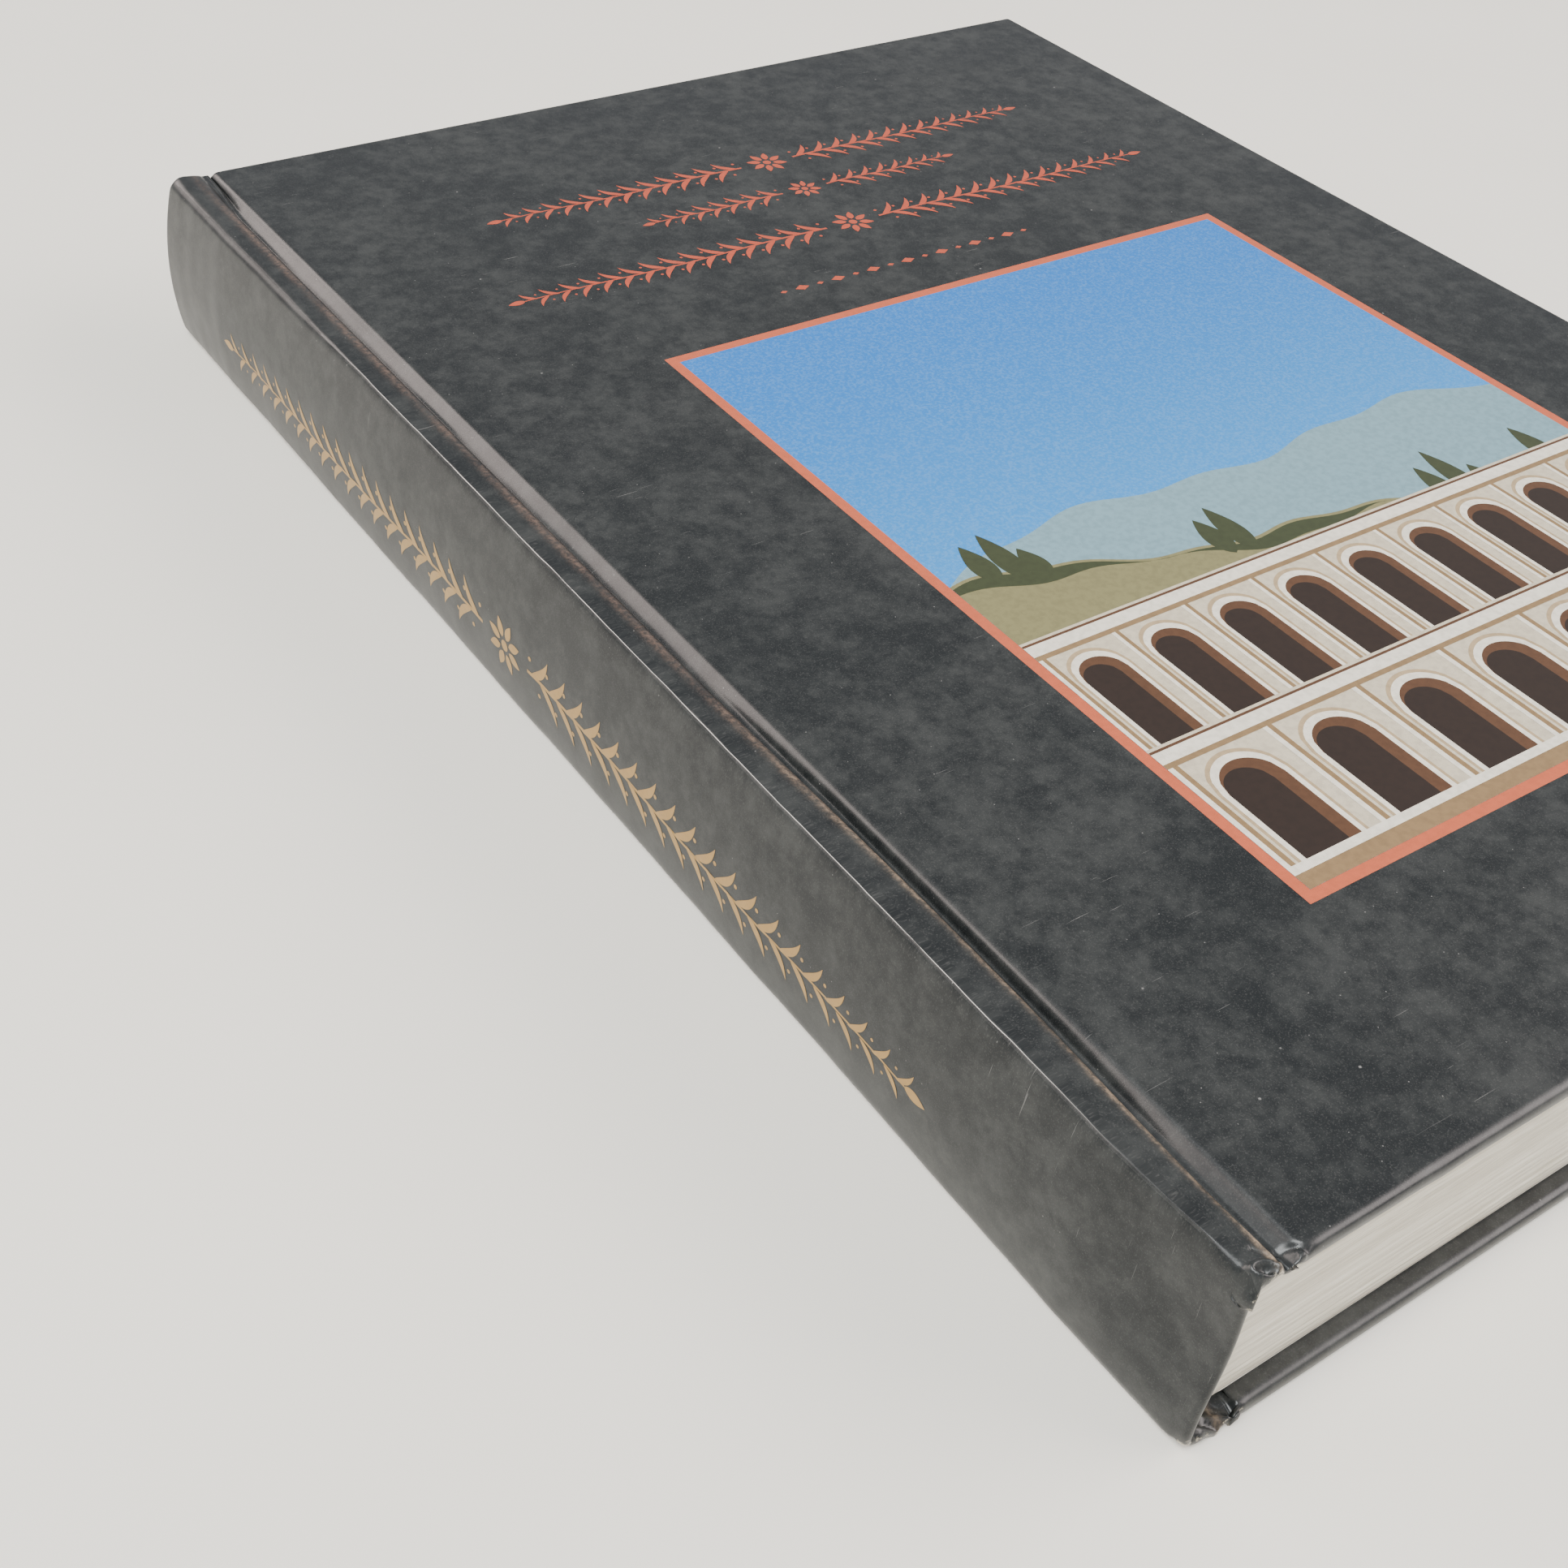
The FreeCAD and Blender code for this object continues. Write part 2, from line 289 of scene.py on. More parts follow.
def rim_grid():
    """The edge profile carried round tail, fore edge and head, fanned at the corners and mitred below."""
    fan = np.radians(steps(-90, 90, 2 * CORNER_TURNS - 1))
    right = X_COLUMNS[-1]
    tail_y, head_y = Y_ROWS[0], Y_ROWS[-1]
    from_right = right - X_COLUMNS
    from_end = np.minimum(Y_ROWS - tail_y, head_y - Y_ROWS)
    across, corner, along = np.ones(len(X_COLUMNS)), np.ones(CORNER_TURNS), np.ones(len(Y_ROWS))
    # Each in five stretches: the tail edge, a corner, the fore edge, a corner and the head edge
    place_x = np.concatenate([X_COLUMNS, corner * right, along * right, corner * right, X_COLUMNS[::-1]])
    place_y = np.concatenate([across * tail_y, corner * tail_y, Y_ROWS, corner * head_y, across * head_y])
    first, second = fan[:CORNER_TURNS], fan[CORNER_TURNS - 1 :]
    turn = np.concatenate([across * fan[0], first, along * 0, second, across * fan[-1]])
    from_corner = np.concatenate([from_right, corner * 0, from_end, corner * 0, from_right[::-1]])
    radius = np.full(len(turn), EDGE_ROUND)
    out, down = over_edge(radius, np.full(len(turn), COVER_DEPTH))
    out = np.maximum(out, -from_corner[None, :])
    x = place_x + out * np.cos(turn)
    y = place_y + out * np.sin(turn)
    return np.stack([x, y, TOP - down], -1)


def grid_faces(rows, columns, start=0, flip=False):
    """Quads of a grid whose vertices are stored row by row."""
    corner = (np.arange(rows - 1)[:, None] * columns + np.arange(columns - 1)[None, :]).ravel() + start
    quads = np.stack([corner, corner + 1, corner + columns + 1, corner + columns], 1)
    return quads[:, ::-1] if flip else quads


# Vertices in one cell of this many to a millimetre are welded. The offset keeps round sizes off the
# cells' borders.
WELD_CELLS = 300
WELD_OFFSET = 0.137


def weld(points, quads):
    """Vertices at one place are made one, and quads that lose a corner become triangles or go."""
    cells = np.round(points * WELD_CELLS + WELD_OFFSET)
    _, keep, index = np.unique(cells, axis=0, return_index=True, return_inverse=True)
    quads = index.ravel()[quads]
    same = quads == np.roll(quads, -1, axis=1)
    quads = quads[same.sum(1) < 2]
    same = quads == np.roll(quads, -1, axis=1)
    whole = ~same.any(1)
    first = np.argmax(same, axis=1)
    rest = quads[~whole]
    order = (first[~whole][:, None] + np.arange(1, 4)[None, :]) % 4
    triangles = np.take_along_axis(rest, order, axis=1)
    return keep, quads[whole], triangles


def new_object(name, points, quads, triangles=None, materials=(), flat_from=None):
    """A mesh object from arrays: points in millimetres, quads and triangles as vertex numbers.

    Quads from the number flat_from on are shaded flat, and all others are smooth.
    """
    if triangles is None:
        triangles = np.zeros((0, 3), int)
    mesh = bpy.data.meshes.new(name)
    mesh.vertices.add(len(points))
    mesh.vertices.foreach_set("co", (points * MM).astype(np.float32).ravel())
    loops = np.concatenate([quads.ravel(), triangles.ravel()]).astype(np.int32)
    sizes = np.concatenate([np.full(len(quads), 4), np.full(len(triangles), 3)])
    starts = np.concatenate([[0], np.cumsum(sizes)[:-1]]).astype(np.int32)
    mesh.loops.add(len(loops))
    mesh.loops.foreach_set("vertex_index", loops)
    mesh.polygons.add(len(sizes))
    mesh.polygons.foreach_set("loop_start", starts)
    rounded = np.ones(len(sizes), bool)
    if flat_from is not None:
        rounded[flat_from : len(quads)] = False
    mesh.polygons.foreach_set("use_smooth", rounded)
    mesh.update(calc_edges=True)
    for material in materials:
        mesh.materials.append(material)
    thing = bpy.data.objects.new(name, mesh)
    bpy.context.scene.collection.objects.link(thing)
    return thing


def corner_normals(points, quads, triangles):
    """A unit normal for each vertex, the mean of its faces' by their areas."""
    total = np.zeros_like(points)
    for faces in (quads, triangles):
        if len(faces):
            across = points[faces[:, 2]] - points[faces[:, 0]]
            cross = np.cross(across, points[faces[:, -1]] - points[faces[:, 1]])
            for corner in range(faces.shape[1]):
                np.add.at(total, faces[:, corner], cross)
    return total / np.maximum(np.linalg.norm(total, axis=1), 1e-9)[:, None]


def thickened(points, quads, triangles, thickness):
    """A sheet given thickness inwards: its faces again on the inside and a rim round its open edges."""
    inside = points - corner_normals(points, quads, triangles) * thickness
    count = len(points)
    pairs = [np.stack([quads[:, i], quads[:, (i + 1) % 4]], 1) for i in range(4)]
    pairs += [np.stack([triangles[:, i], triangles[:, (i + 1) % 3]], 1) for i in range(3)]
    pairs = np.concatenate(pairs)
    code = np.sort(pairs, 1) @ [count, 1]
    _, first, uses = np.unique(code, return_index=True, return_counts=True)
    open_edges = pairs[first[uses == 1]]
    start, end = open_edges.T
    rim = np.stack([end, start, start + count, end + count], 1)
    all_quads = np.concatenate([quads, quads[:, ::-1] + count, rim])
    all_triangles = np.concatenate([triangles, triangles[:, ::-1] + count])
    return np.concatenate([points, inside]), all_quads, all_triangles, 2 * len(quads)


def store(thing, name, values):
    """A vector for each vertex, which a material reads by name."""
    attribute = thing.data.attributes.new(name, "FLOAT_VECTOR", "POINT")
    attribute.data.foreach_set("vector", values.astype(np.float32).ravel())


# Ways in which use has changed the case: how far the spine leans out at the back, swells out towards the
# head and has sunk in at the tail
LEAN = 1.1
SWELL = 0.75
SUNK = 2.6


def spine_push(y, z):
    """How far the spine's face has moved inwards: it leans out at the back and has sunk at the tail."""
    lean = -LEAN * (1 - z / TOP)
    swell = -SWELL * smooth(150, 300, y) * np.sin(np.pi * np.clip(z / TOP, 0, 1)) ** 0.7
    sunk = SUNK * (1 - smooth(1.0, 26.0, y)) * bell(z - 19.0, 12.5)
    return lean + swell + sunk


# Creases in the paper at the tail end of the front joint: start and end, from ridge and tail, then height
# and width
FRONT_CREASES = (
    ((3.0, 4.0), (5.2, 0.9), 0.16, 0.4),
    ((3.4, 3.6), (5.4, 0.7), -0.35, 0.35),
    ((6.4, 3.4), (8.4, 0.6), 0.3, 0.6),
    ((7.6, 2.2), (9.3, 0.5), -0.6, 0.35),
    ((4.6, 9.0), (5.2, 1.0), 0.25, 0.5),
    ((-0.7, 1.6), (0.2, 0.2), -1.5, 0.9),
    ((4.9, 0.5), (8.6, 0.1), 0.3, 0.35),
)
# Ring-shaped fold beside them: middle, half lengths, turn in radians, height of its rim and depth inside
FRONT_RING = ((2.8, 0.95), (1.9, 0.85), -0.36, 0.55, 0.95)
BACK_CREASES = (
    ((1.5, 2.4), (4.6, 0.4), 0.8, 0.5),
    ((4.2, 2.6), (7.4, 0.2), 0.8, 0.5),
    ((2.9, 2.6), (5.9, 0.2), -0.9, 0.45),
    ((6.2, 4.5), (8.9, 0.5), -0.6, 0.5),
    ((0.2, 1.6), (2.2, 0.2), -0.7, 0.5),
)


def crease_height(x, y, creases):
    """Sum of ridges and hollows, each a bell across the distance from its own short line."""
    height = np.zeros_like(x)
    for (x0, y0), (x1, y1), rise, width in creases:
        run_x, run_y = x1 - x0, y1 - y0
        along = np.clip(((x - x0) * run_x + (y - y0) * run_y) / (run_x**2 + run_y**2), 0, 1)
        distance = np.hypot(x - x0 - along * run_x, y - y0 - along * run_y)
        height += rise * bell(distance, width)
    return height


def ring_height(x, y, ring):
    """A fold that closes on itself: a raised rim on an oval and a hollow inside it."""
    (middle_x, middle_y), (long, short), turn, rise, hollow = ring
    along = ((x - middle_x) * math.cos(turn) + (y - middle_y) * math.sin(turn)) / long
    across = ((y - middle_y) * math.cos(turn) - (x - middle_x) * math.sin(turn)) / short
    reach = np.hypot(along, across)
    return rise * bell((reach - 1) * short, 0.3) - hollow * bell(reach, 0.55)


def ripple(y, seed):
    """A gentle uneven line along the book, a sum of sines of unlike lengths, between -1 and 1."""
    rng = np.random.default_rng(seed)
    total = np.zeros_like(y)
    for length in (61.0, 37.0, 23.0, 11.0, 6.5):
        total += np.sin(2 * np.pi * (y / length + rng.random())) * length**0.5
    return total / 22.0


HINGE_OUT = HINGE_X - RIDGE_X
# The slack joint's section, as distances from the ridge and depths: the hinge line and the board's edge
SLACK_HINGE = (6.1, 2.3)
SLACK_EDGE = (8.4, 0.38)
SLACK_SAG = 0.11


def slackened(x, depth, share):
    """Where the joint is slack, the paper spans from the groove's bottom to the board's edge in one slope.

    Points past the hinge line slide onto the straight line between the two named places by how far
    along the section they are. Points before it draw in towards the hinge line's new place.
    """
    whole = SLACK_EDGE[0] - HINGE_OUT + GROOVE_DEPTH - SLACK_EDGE[1]
    travel = np.clip((x - HINGE_OUT + GROOVE_DEPTH - depth) / whole, 0, 1)
    past = (x >= HINGE_OUT) & (x <= SLACK_EDGE[0]) & (travel < 1)
    drawn = smooth(5.2, HINGE_OUT, x)
    new_x = np.where(past, SLACK_HINGE[0] + (SLACK_EDGE[0] - SLACK_HINGE[0]) * travel, x)
    sag = SLACK_SAG * np.sin(np.pi * travel)
    new_depth = np.where(past, SLACK_HINGE[1] + (SLACK_EDGE[1] - SLACK_HINGE[1]) * travel + sag, depth)
    before = x < HINGE_OUT
    new_x = np.where(before, x + (SLACK_HINGE[0] - HINGE_OUT) * drawn, new_x)
    new_depth = np.where(before, depth + (SLACK_HINGE[1] - GROOVE_DEPTH) * drawn, new_depth)
    share = share * (depth < GROOVE_DEPTH + 0.05)
    return x + (new_x - x) * share, depth + (new_depth - depth) * share


# The ridge's arc: the angle where it meets the spine's, and its centre's distance from the ridge line
RIDGE_END = math.asin(RIDGE_RUN / (SPINE_RADIUS - RIDGE_RADIUS))
RIDGE_CENTRE = SPINE_X + SPINE_RADIUS - RIDGE_RUN - RIDGE_X
# The tight curve of the fold that it is drawn to
CREASE_RADIUS = 0.38
CREASE_TURN = math.radians(58.0)
# Points as far under the outer face as this belong to the paper
PAPER_REACH = 0.6


def creased(x, depth, share):
    """The rounded ridge drawn out to a fold: a tight curve near the top, then a wide one down to the spine.

    A point keeps the direction that its surface faces and its distance under the surface.
    """
    turn = np.arctan2(RIDGE_CENTRE - x, RIDGE_RADIUS - depth)
    under = RIDGE_RADIUS - np.hypot(RIDGE_CENTRE - x, RIDGE_RADIUS - depth)
    drop = RIDGE_RADIUS * (1 - math.cos(RIDGE_END)) - CREASE_RADIUS * (1 - math.cos(CREASE_TURN))
    wide = drop / (math.cos(CREASE_TURN) - math.cos(RIDGE_END))
    end_x = RIDGE_CENTRE - RIDGE_RADIUS * math.sin(RIDGE_END)
    start = end_x + CREASE_RADIUS * math.sin(CREASE_TURN)
    start = start + wide * (math.sin(RIDGE_END) - math.sin(CREASE_TURN))
    tight_x = start - CREASE_RADIUS * np.sin(turn)
    tight_depth = CREASE_RADIUS * (1 - np.cos(turn))
    wide_x = end_x + wide * (math.sin(RIDGE_END) - np.sin(turn))
    wide_depth = RIDGE_RADIUS * (1 - math.cos(RIDGE_END)) - wide * (np.cos(turn) - math.cos(RIDGE_END))
    tight = turn < CREASE_TURN
    new_x = np.where(tight, tight_x, wide_x) + under * np.sin(turn)
    new_depth = np.where(tight, tight_depth, wide_depth) + under * np.cos(turn)
    on_ridge = (turn > 0) & (turn < RIDGE_END) & (depth < RIDGE_RADIUS) & (x < RIDGE_CENTRE)
    share = share * (on_ridge & (under < PAPER_REACH))
    return x + (new_x - x) * share, depth + (new_depth - depth) * share


# Stretches over which a change sets in or dies away, in millimetres from the tail
SLACK_TAIL_END = (8, 50)
SLACK_START = (72, 128)
SLACK_END = (LENGTH - 20, LENGTH - 6)
FOLD_START = (1, 9)
FOLD_END = (218, 250)
WIDENED_START = (10.0, 50.0)
TAIL_HALF_END = (60.0, 120.0)
# The ridge's white line, bare paper and a painted highlight, sets in and dies away over these
RIDGE_LINE_START = (18, 45)
RIDGE_LINE_END = (205, 228)
# The same across the joint, in millimetres from the ridge
PUSH_END = (0.5, 6.0)
SHOULDER_RISES = (1.8, 4.8)
GROOVE_BEGINS = (1.5, 4.5)
WIDENED_END = (5.2, 7.9)
GROOVE_END = (7.3, 8.3)
CRUMPLE_END = (9.0, 12.0)
# Heights and shifts
WIDENED_BY = 0.75
SPINE_WAVE = 0.12
NICK_X, NICK_DEPTH = 31.0, 0.35
# The bent corner at the spine's foot: how far round it and how far it is bent
FOOT_REACH = 4.5
FOOT_BEND = 1.1


def in_use(points, paper=True):
    """The new case's points moved to where use has left them: pushed spine, bunched joint ends, creases."""
    x = points[:, 0] - RIDGE_X
    y = points[:, 1] - TAIL
    z = points[:, 2].copy()
    moved = points.copy()
    if paper:
        for front in (True, False):
            half = (points[:, 2] > MIDDLE) == front
            depth = TOP - z if front else z
            slack = smooth(*SLACK_START, y) * (1 - smooth(*SLACK_END, y)) + 1 - smooth(*SLACK_TAIL_END, y)
            fold = smooth(*FOLD_START, y) * (1 - smooth(*FOLD_END, y))
            new_x, new_depth = slackened(x, depth, slack * half)
            new_x, new_depth = creased(new_x, new_depth, fold * half)
            moved[:, 0] += new_x - x
            moved[:, 2] += (depth - new_depth) * (1 if front else -1)
    near_spine = 1 - smooth(*PUSH_END, x)
    moved[:, 0] += near_spine * (spine_push(y, z) + SPINE_WAVE * ripple(y, 3))
    for side, creases, seed in ((1, FRONT_CREASES, 5), (-1, BACK_CREASES, 8)):
        depth = TOP - z if side > 0 else z
        here = smooth(-6.0, -4.0, -depth)
        widened = WIDENED_BY * (1 - smooth(*TAIL_HALF_END, y)) * smooth(*WIDENED_START, y)
        moved[:, 0] += widened * smooth(*SHOULDER_RISES, x) * (1 - smooth(*WIDENED_END, x)) * here
        groove = (1 - smooth(*GROOVE_END, x)) * here
        fill = 0.68 * bell(LENGTH - y, 13.0) + 0.2 * bell(y, 12.0) + 0.05 + 0.05 * ripple(y, seed)
        moved[:, 2] += side * groove * fill * np.clip(depth, 0, 3) * smooth(*GROOVE_BEGINS, x)
        shoulder = bell(x - 2.0, 1.7) * here
        swollen = 0.45 * bell(LENGTH - y, 5.0) * (side > 0)
        moved[:, 2] += side * shoulder * (0.12 * ripple(y, seed + 1) + swollen)
        crumple = crease_height(x, y, creases) + (ring_height(x, y, FRONT_RING) if side > 0 else 0)
        crumple = crumple * smooth(-4.6, -3.2, -depth) * (1 - smooth(*CRUMPLE_END, x))
        sunk = np.clip(1 - depth / COVER_DEPTH, 0, 1)
        crumple = np.where(crumple < 0, crumple * np.where(x > 1.0, sunk, 1), crumple)
        moved[:, 2] += side * crumple
        moved[:, 1] -= 0.35 * np.abs(crumple) * bell(y, 1.5)
    nick = bell(np.hypot(x - NICK_X, (y - 0.3) * 1.4), 1.1) * (z > TOP - COVER_DEPTH)
    moved[:, 2] -= NICK_DEPTH * nick
    foot = np.clip(1 - np.sqrt((x + 1.2) ** 2 + y**2 + z**2) / FOOT_REACH, 0, 1) ** 2
    moved += (foot * FOOT_BEND)[:, None] * np.array([0.7, 0.5, 0.5])
    # The book lies on its back cover, so nothing stands out under it.
    moved[:, 2] = np.maximum(moved[:, 2], 0)
    return moved


def wear_and_highlight_of(points):
    """Three marks for each point: the white ridge line, bare paper with a painted highlight; the brown rub in
    the joint, with a painted highlight where it pales near the tail; bare edges.
    """
    x = points[:, 0] - RIDGE_X
    y = points[:, 1] - TAIL
    depth = np.minimum(TOP - points[:, 2], points[:, 2])
    on_front = points[:, 2] > MIDDLE
    ridge = smooth(*RIDGE_LINE_START, y) * (1 - smooth(*RIDGE_LINE_END, y)) * on_front * (depth < 2.5)
    tail_half = 1 - smooth(*TAIL_HALF_END, y)
    rub = bell(x - 4.25 - 0.75 * tail_half, 0.85 - 0.3 * tail_half) * (depth < 3.2)
    end = bell(y, 0.7) + 0.5 * bell(LENGTH - y, 0.5)
    joint_end = end * (1 - smooth(8.5, 10.5, x)) * (depth < 4)
    corner = bell(np.hypot(FORE - points[:, 0], np.minimum(y, LENGTH - y)), 2.0)
    foot = np.clip(1.25 - np.sqrt((x + 0.9) ** 2 + y**2 + (points[:, 2] - 0.6) ** 2) / 3.2, 0, 1)
    edge = np.maximum(np.maximum(joint_end * 0.68, corner * 0.7), foot)
    return np.stack([ridge, rub, edge], 1)


def tinted(rgb):
    """A colour given as it looks on a screen, 0 to 255, turned into linear light."""
    share = np.array(rgb, float) / 255
    linear = np.where(share <= 0.04045, share / 12.92, ((share + 0.055) / 1.055) ** 2.4)
    return (*[float(v) for v in linear], 1.0)


class Recipe:
    """A material's nodes, made and joined in a few words."""

    def __init__(self, name):
        self.material = bpy.data.materials.new(name)
        self.material.use_nodes = True
        self.nodes = self.material.node_tree.nodes
        self.links = self.material.node_tree.links
        self.surface = self.nodes["Principled BSDF"]

    def feed(self, socket, value):
        if hasattr(value, "is_output"):
            self.links.new(value, socket)
        else:
            socket.default_value = value

    def node(self, kind, inputs=(), **settings):
        made = self.nodes.new(kind)
        for key, value in settings.items():
            setattr(made, key, value)
        for key, value in dict(inputs).items():
            self.feed(made.inputs[key], value)
        return made

    def sums(self, operation, a, b=0.0):
        return self.node("ShaderNodeMath", {0: a, 1: b}, operation=operation).outputs[0]

    def between(self, value, low, high, to_low=0.0, to_high=1.0):
        """Value mapped smoothly from one range to another."""
        inputs = {"Value": value, "From Min": low, "From Max": high, "To Min": to_low, "To Max": to_high}
        return self.node("ShaderNodeMapRange", inputs, interpolation_type="SMOOTHSTEP").outputs[0]

    def blend(self, share, a, b):
        """Colour a turned into colour b by the share."""
        made = self.node("ShaderNodeMix", data_type="RGBA")
        self.feed(made.inputs[0], share)
        self.feed(made.inputs[6], a)
        self.feed(made.inputs[7], b)
        return made.outputs[2]

    def place(self, attribute=None, scale=(1, 1, 1), turn=(0, 0, 0)):
        """Coordinates in metres, from the object or from a stored place, stretched and turned."""
        if attribute:
            source = self.node("ShaderNodeAttribute", attribute_name=attribute).outputs["Vector"]
        else:
            source = self.node("ShaderNodeTexCoord").outputs["Object"]
        mapping = self.node("ShaderNodeMapping", {"Vector": source, "Scale": scale, "Rotation": turn})
        return mapping.outputs[0]

    def noise(self, where, size_mm, detail=3.0, roughness=0.55):
        inputs = {"Vector": where, "Scale": 1 / (size_mm * MM), "Detail": detail, "Roughness": roughness}
        return self.node("ShaderNodeTexNoise", inputs).outputs["Fac"]

    def bump(self, height, distance_mm, strength=1.0, onto=None):
        inputs = {"Height": height, "Distance": distance_mm * MM, "Strength": strength}
        if onto is not None:
            inputs["Normal"] = onto
        return self.node("ShaderNodeBump", inputs).outputs[0]

    def finish(self, colour, roughness, normal=None, **constants):
        self.feed(self.surface.inputs["Base Color"], colour)
        self.feed(self.surface.inputs["Roughness"], roughness)
        if normal is not None:
            self.feed(self.surface.inputs["Normal"], normal)
        for key, value in constants.items():
            self.surface.inputs[key.replace("_", " ")].default_value = value
        return self.material


def scratch_mask(recipe, where, size_mm, turn, stretch=45.0, rarity=0.78):
    """Hairlines: noise drawn out along one direction and cut off near its top."""
    inputs = {"Vector": where, "Rotation": (0, 0, turn), "Scale": (1, stretch, 1)}
    coords = recipe.node("ShaderNodeMapping", inputs)
    streak = recipe.noise(coords.outputs[0], size_mm, 1.0)
    patch = recipe.noise(where, 23.0 + size_mm, 1.0)
    line = recipe.between(streak, rarity, rarity + 0.02)
    return recipe.sums("MULTIPLY", line, recipe.between(patch, 0.52, 0.64))


def speck_mask(recipe, where, cell_mm, size, share):
    """Small round specks in a few of many cells."""
    inputs = {"Vector": where, "Scale": 1 / (cell_mm * MM), "Randomness": 1.0}
    voronoi = recipe.node("ShaderNodeTexVoronoi", inputs)
    dot = recipe.between(voronoi.outputs["Distance"], size, size * 0.4)
    colour = recipe.node("ShaderNodeSeparateColor", {0: voronoi.outputs["Color"]})
    return recipe.sums("MULTIPLY", dot, recipe.sums("LESS_THAN", colour.outputs[0], share))


def worn_and_highlighted(recipe, colour, where):
    """Print marked by use, with painted highlights: a white line along the ridge, bare paper and a painted
    highlight; a brown rub in the joint that pales near the tail into a painted highlight; and pale, broken
    edges.
    """
    wear_and_highlight = recipe.node("ShaderNodeAttribute", attribute_name="wear_and_highlight").outputs["Vector"]
    ridge, rub, edge = recipe.node("ShaderNodeSeparateXYZ", {0: wear_and_highlight}).outputs
    fine = recipe.noise(where, 0.9, 5.0, 0.75)
    coarse = recipe.noise(where, 14.0, 2.0)
    rub_and_highlight_share = recipe.sums("MULTIPLY", rub, recipe.between(fine, 0.38, 0.66, 0.15, 0.8))
    rub_and_highlight_share = recipe.sums("MULTIPLY", rub_and_highlight_share, recipe.between(coarse, 0.35, 0.6, 0.35, 1.0))
    across, along, _ = recipe.node("ShaderNodeSeparateXYZ", {0: where}).outputs
    # Near the tail the brown rub pales to tan: rubbed paper, and a painted highlight where the shoulder's
    # slope catches the light
    tail_end, head_end = ((TAIL + y) * MM for y in TAIL_HALF_END)
    near_tail = recipe.between(along, tail_end, head_end, 1.0, 0.0)
    rub_and_highlight_colour = recipe.blend(near_tail, tinted((112, 92, 80)), tinted((168, 146, 122)))
    colour = recipe.blend(rub_and_highlight_share, colour, rub_and_highlight_colour)
    # White line along the ridge: paper rubbed bare, and a painted highlight where the creased ridge catches
    # the light
    wander = recipe.between(recipe.noise(where, 9.0, 2.0), 0.3, 0.7, -0.14 * MM, 0.14 * MM)
    off_line = recipe.sums("SUBTRACT", recipe.sums("ADD", across, wander), (RIDGE_X + 0.24) * MM)
    off_line = recipe.sums("ABSOLUTE", off_line)
    line = recipe.between(off_line, 0.08 * MM, 0.19 * MM, 1.0, 0.0)
    broken = recipe.sums("ADD", recipe.sums("MULTIPLY", fine, 0.5), coarse)
    solid = recipe.between(broken, 0.52, 0.62, 0.25, 0.95)
    ridge_line_and_highlight_share = recipe.sums("MULTIPLY", recipe.sums("MULTIPLY", ridge, line), solid)
    colour = recipe.blend(ridge_line_and_highlight_share, colour, tinted((206, 202, 194)))
    frayed = recipe.between(recipe.sums("ADD", edge, recipe.sums("MULTIPLY", fine, 0.9)), 1.12, 1.3)
    return recipe.blend(frayed, colour, tinted((188, 180, 160)))


def cover_paper(name="clouded_cover_paper", shine=0.5):
    """Laminated printed paper: a clouded charcoal ground, dust, specks and hairlines under a soft gloss, with
    rubbed places that carry painted highlights on the ridge and in the joint.
    """
    recipe = Recipe(name)
    where = recipe.place("rest")
    large = recipe.noise(where, 26.0, 2.0)
    clouds = recipe.noise(where, 4.5, 3.0, 0.62)
    small = recipe.noise(where, 1.3, 3.0, 0.65)
    tone = recipe.sums("ADD", recipe.sums("MULTIPLY", clouds, 0.56), recipe.sums("MULTIPLY", large, 0.28))
    tone = recipe.sums("ADD", tone, recipe.sums("MULTIPLY", small, 0.26))
    ground = recipe.blend(recipe.between(tone, 0.42, 0.74), tinted((25, 28, 29)), tinted((51, 53, 52)))
    grain = recipe.noise(where, 0.22, 2.0, 0.7)
    ground = recipe.blend(recipe.between(grain, 0.5, 0.76, 0.0, 0.4), ground, tinted((84, 84, 82)))
    scuffs = scratch_mask(recipe, where, 7.0, 0.5)
    for size_mm, turn in ((9.0, -0.9), (12.0, 1.9)):
        scuffs = recipe.sums("MAXIMUM", scuffs, scratch_mask(recipe, where, size_mm, turn))
    specks = speck_mask(recipe, where, 1.7, 0.07, 0.3)
    specks = recipe.sums("MAXIMUM", specks, speck_mask(recipe, where, 6.7, 0.04, 0.45))
    light = recipe.sums("MULTIPLY", scuffs, 0.3)
    light = recipe.sums("MAXIMUM", light, recipe.sums("MULTIPLY", specks, 0.42))
    colour = worn_and_highlighted(recipe, recipe.blend(light, ground, tinted((170, 168, 164))), where)
    sheen_patch = recipe.noise(where, 26.0, 3.0)
    roughness = recipe.between(sheen_patch, 0.3, 0.7, 0.28, 0.36)
    roughness = recipe.sums("ADD", roughness, recipe.sums("MULTIPLY", scuffs, 0.3))
    film = recipe.bump(recipe.noise(where, 0.6, 3.0, 0.6), 0.02, 0.3)
    normal = recipe.bump(recipe.noise(where, 9.0, 2.0), 0.1, 0.2, film)
    return recipe.finish(colour, roughness, normal, Specular_IOR_Level=shine)


def print_ink(name, rgb, rub=0.25):
    """Solid printed colour under the same film, a little uneven."""
    recipe = Recipe(name)
    where = recipe.place("rest")
    mottle = recipe.noise(where, 1.1, 3.0)
    darker = tinted([v * 0.8 for v in rgb])
    base = recipe.blend(recipe.between(mottle, 0.35, 0.7, 0.0, rub), tinted(rgb), darker)
    normal = recipe.bump(recipe.noise(where, 0.6, 2.0), 0.015, 0.3)
    return recipe.finish(base, 0.34, normal)


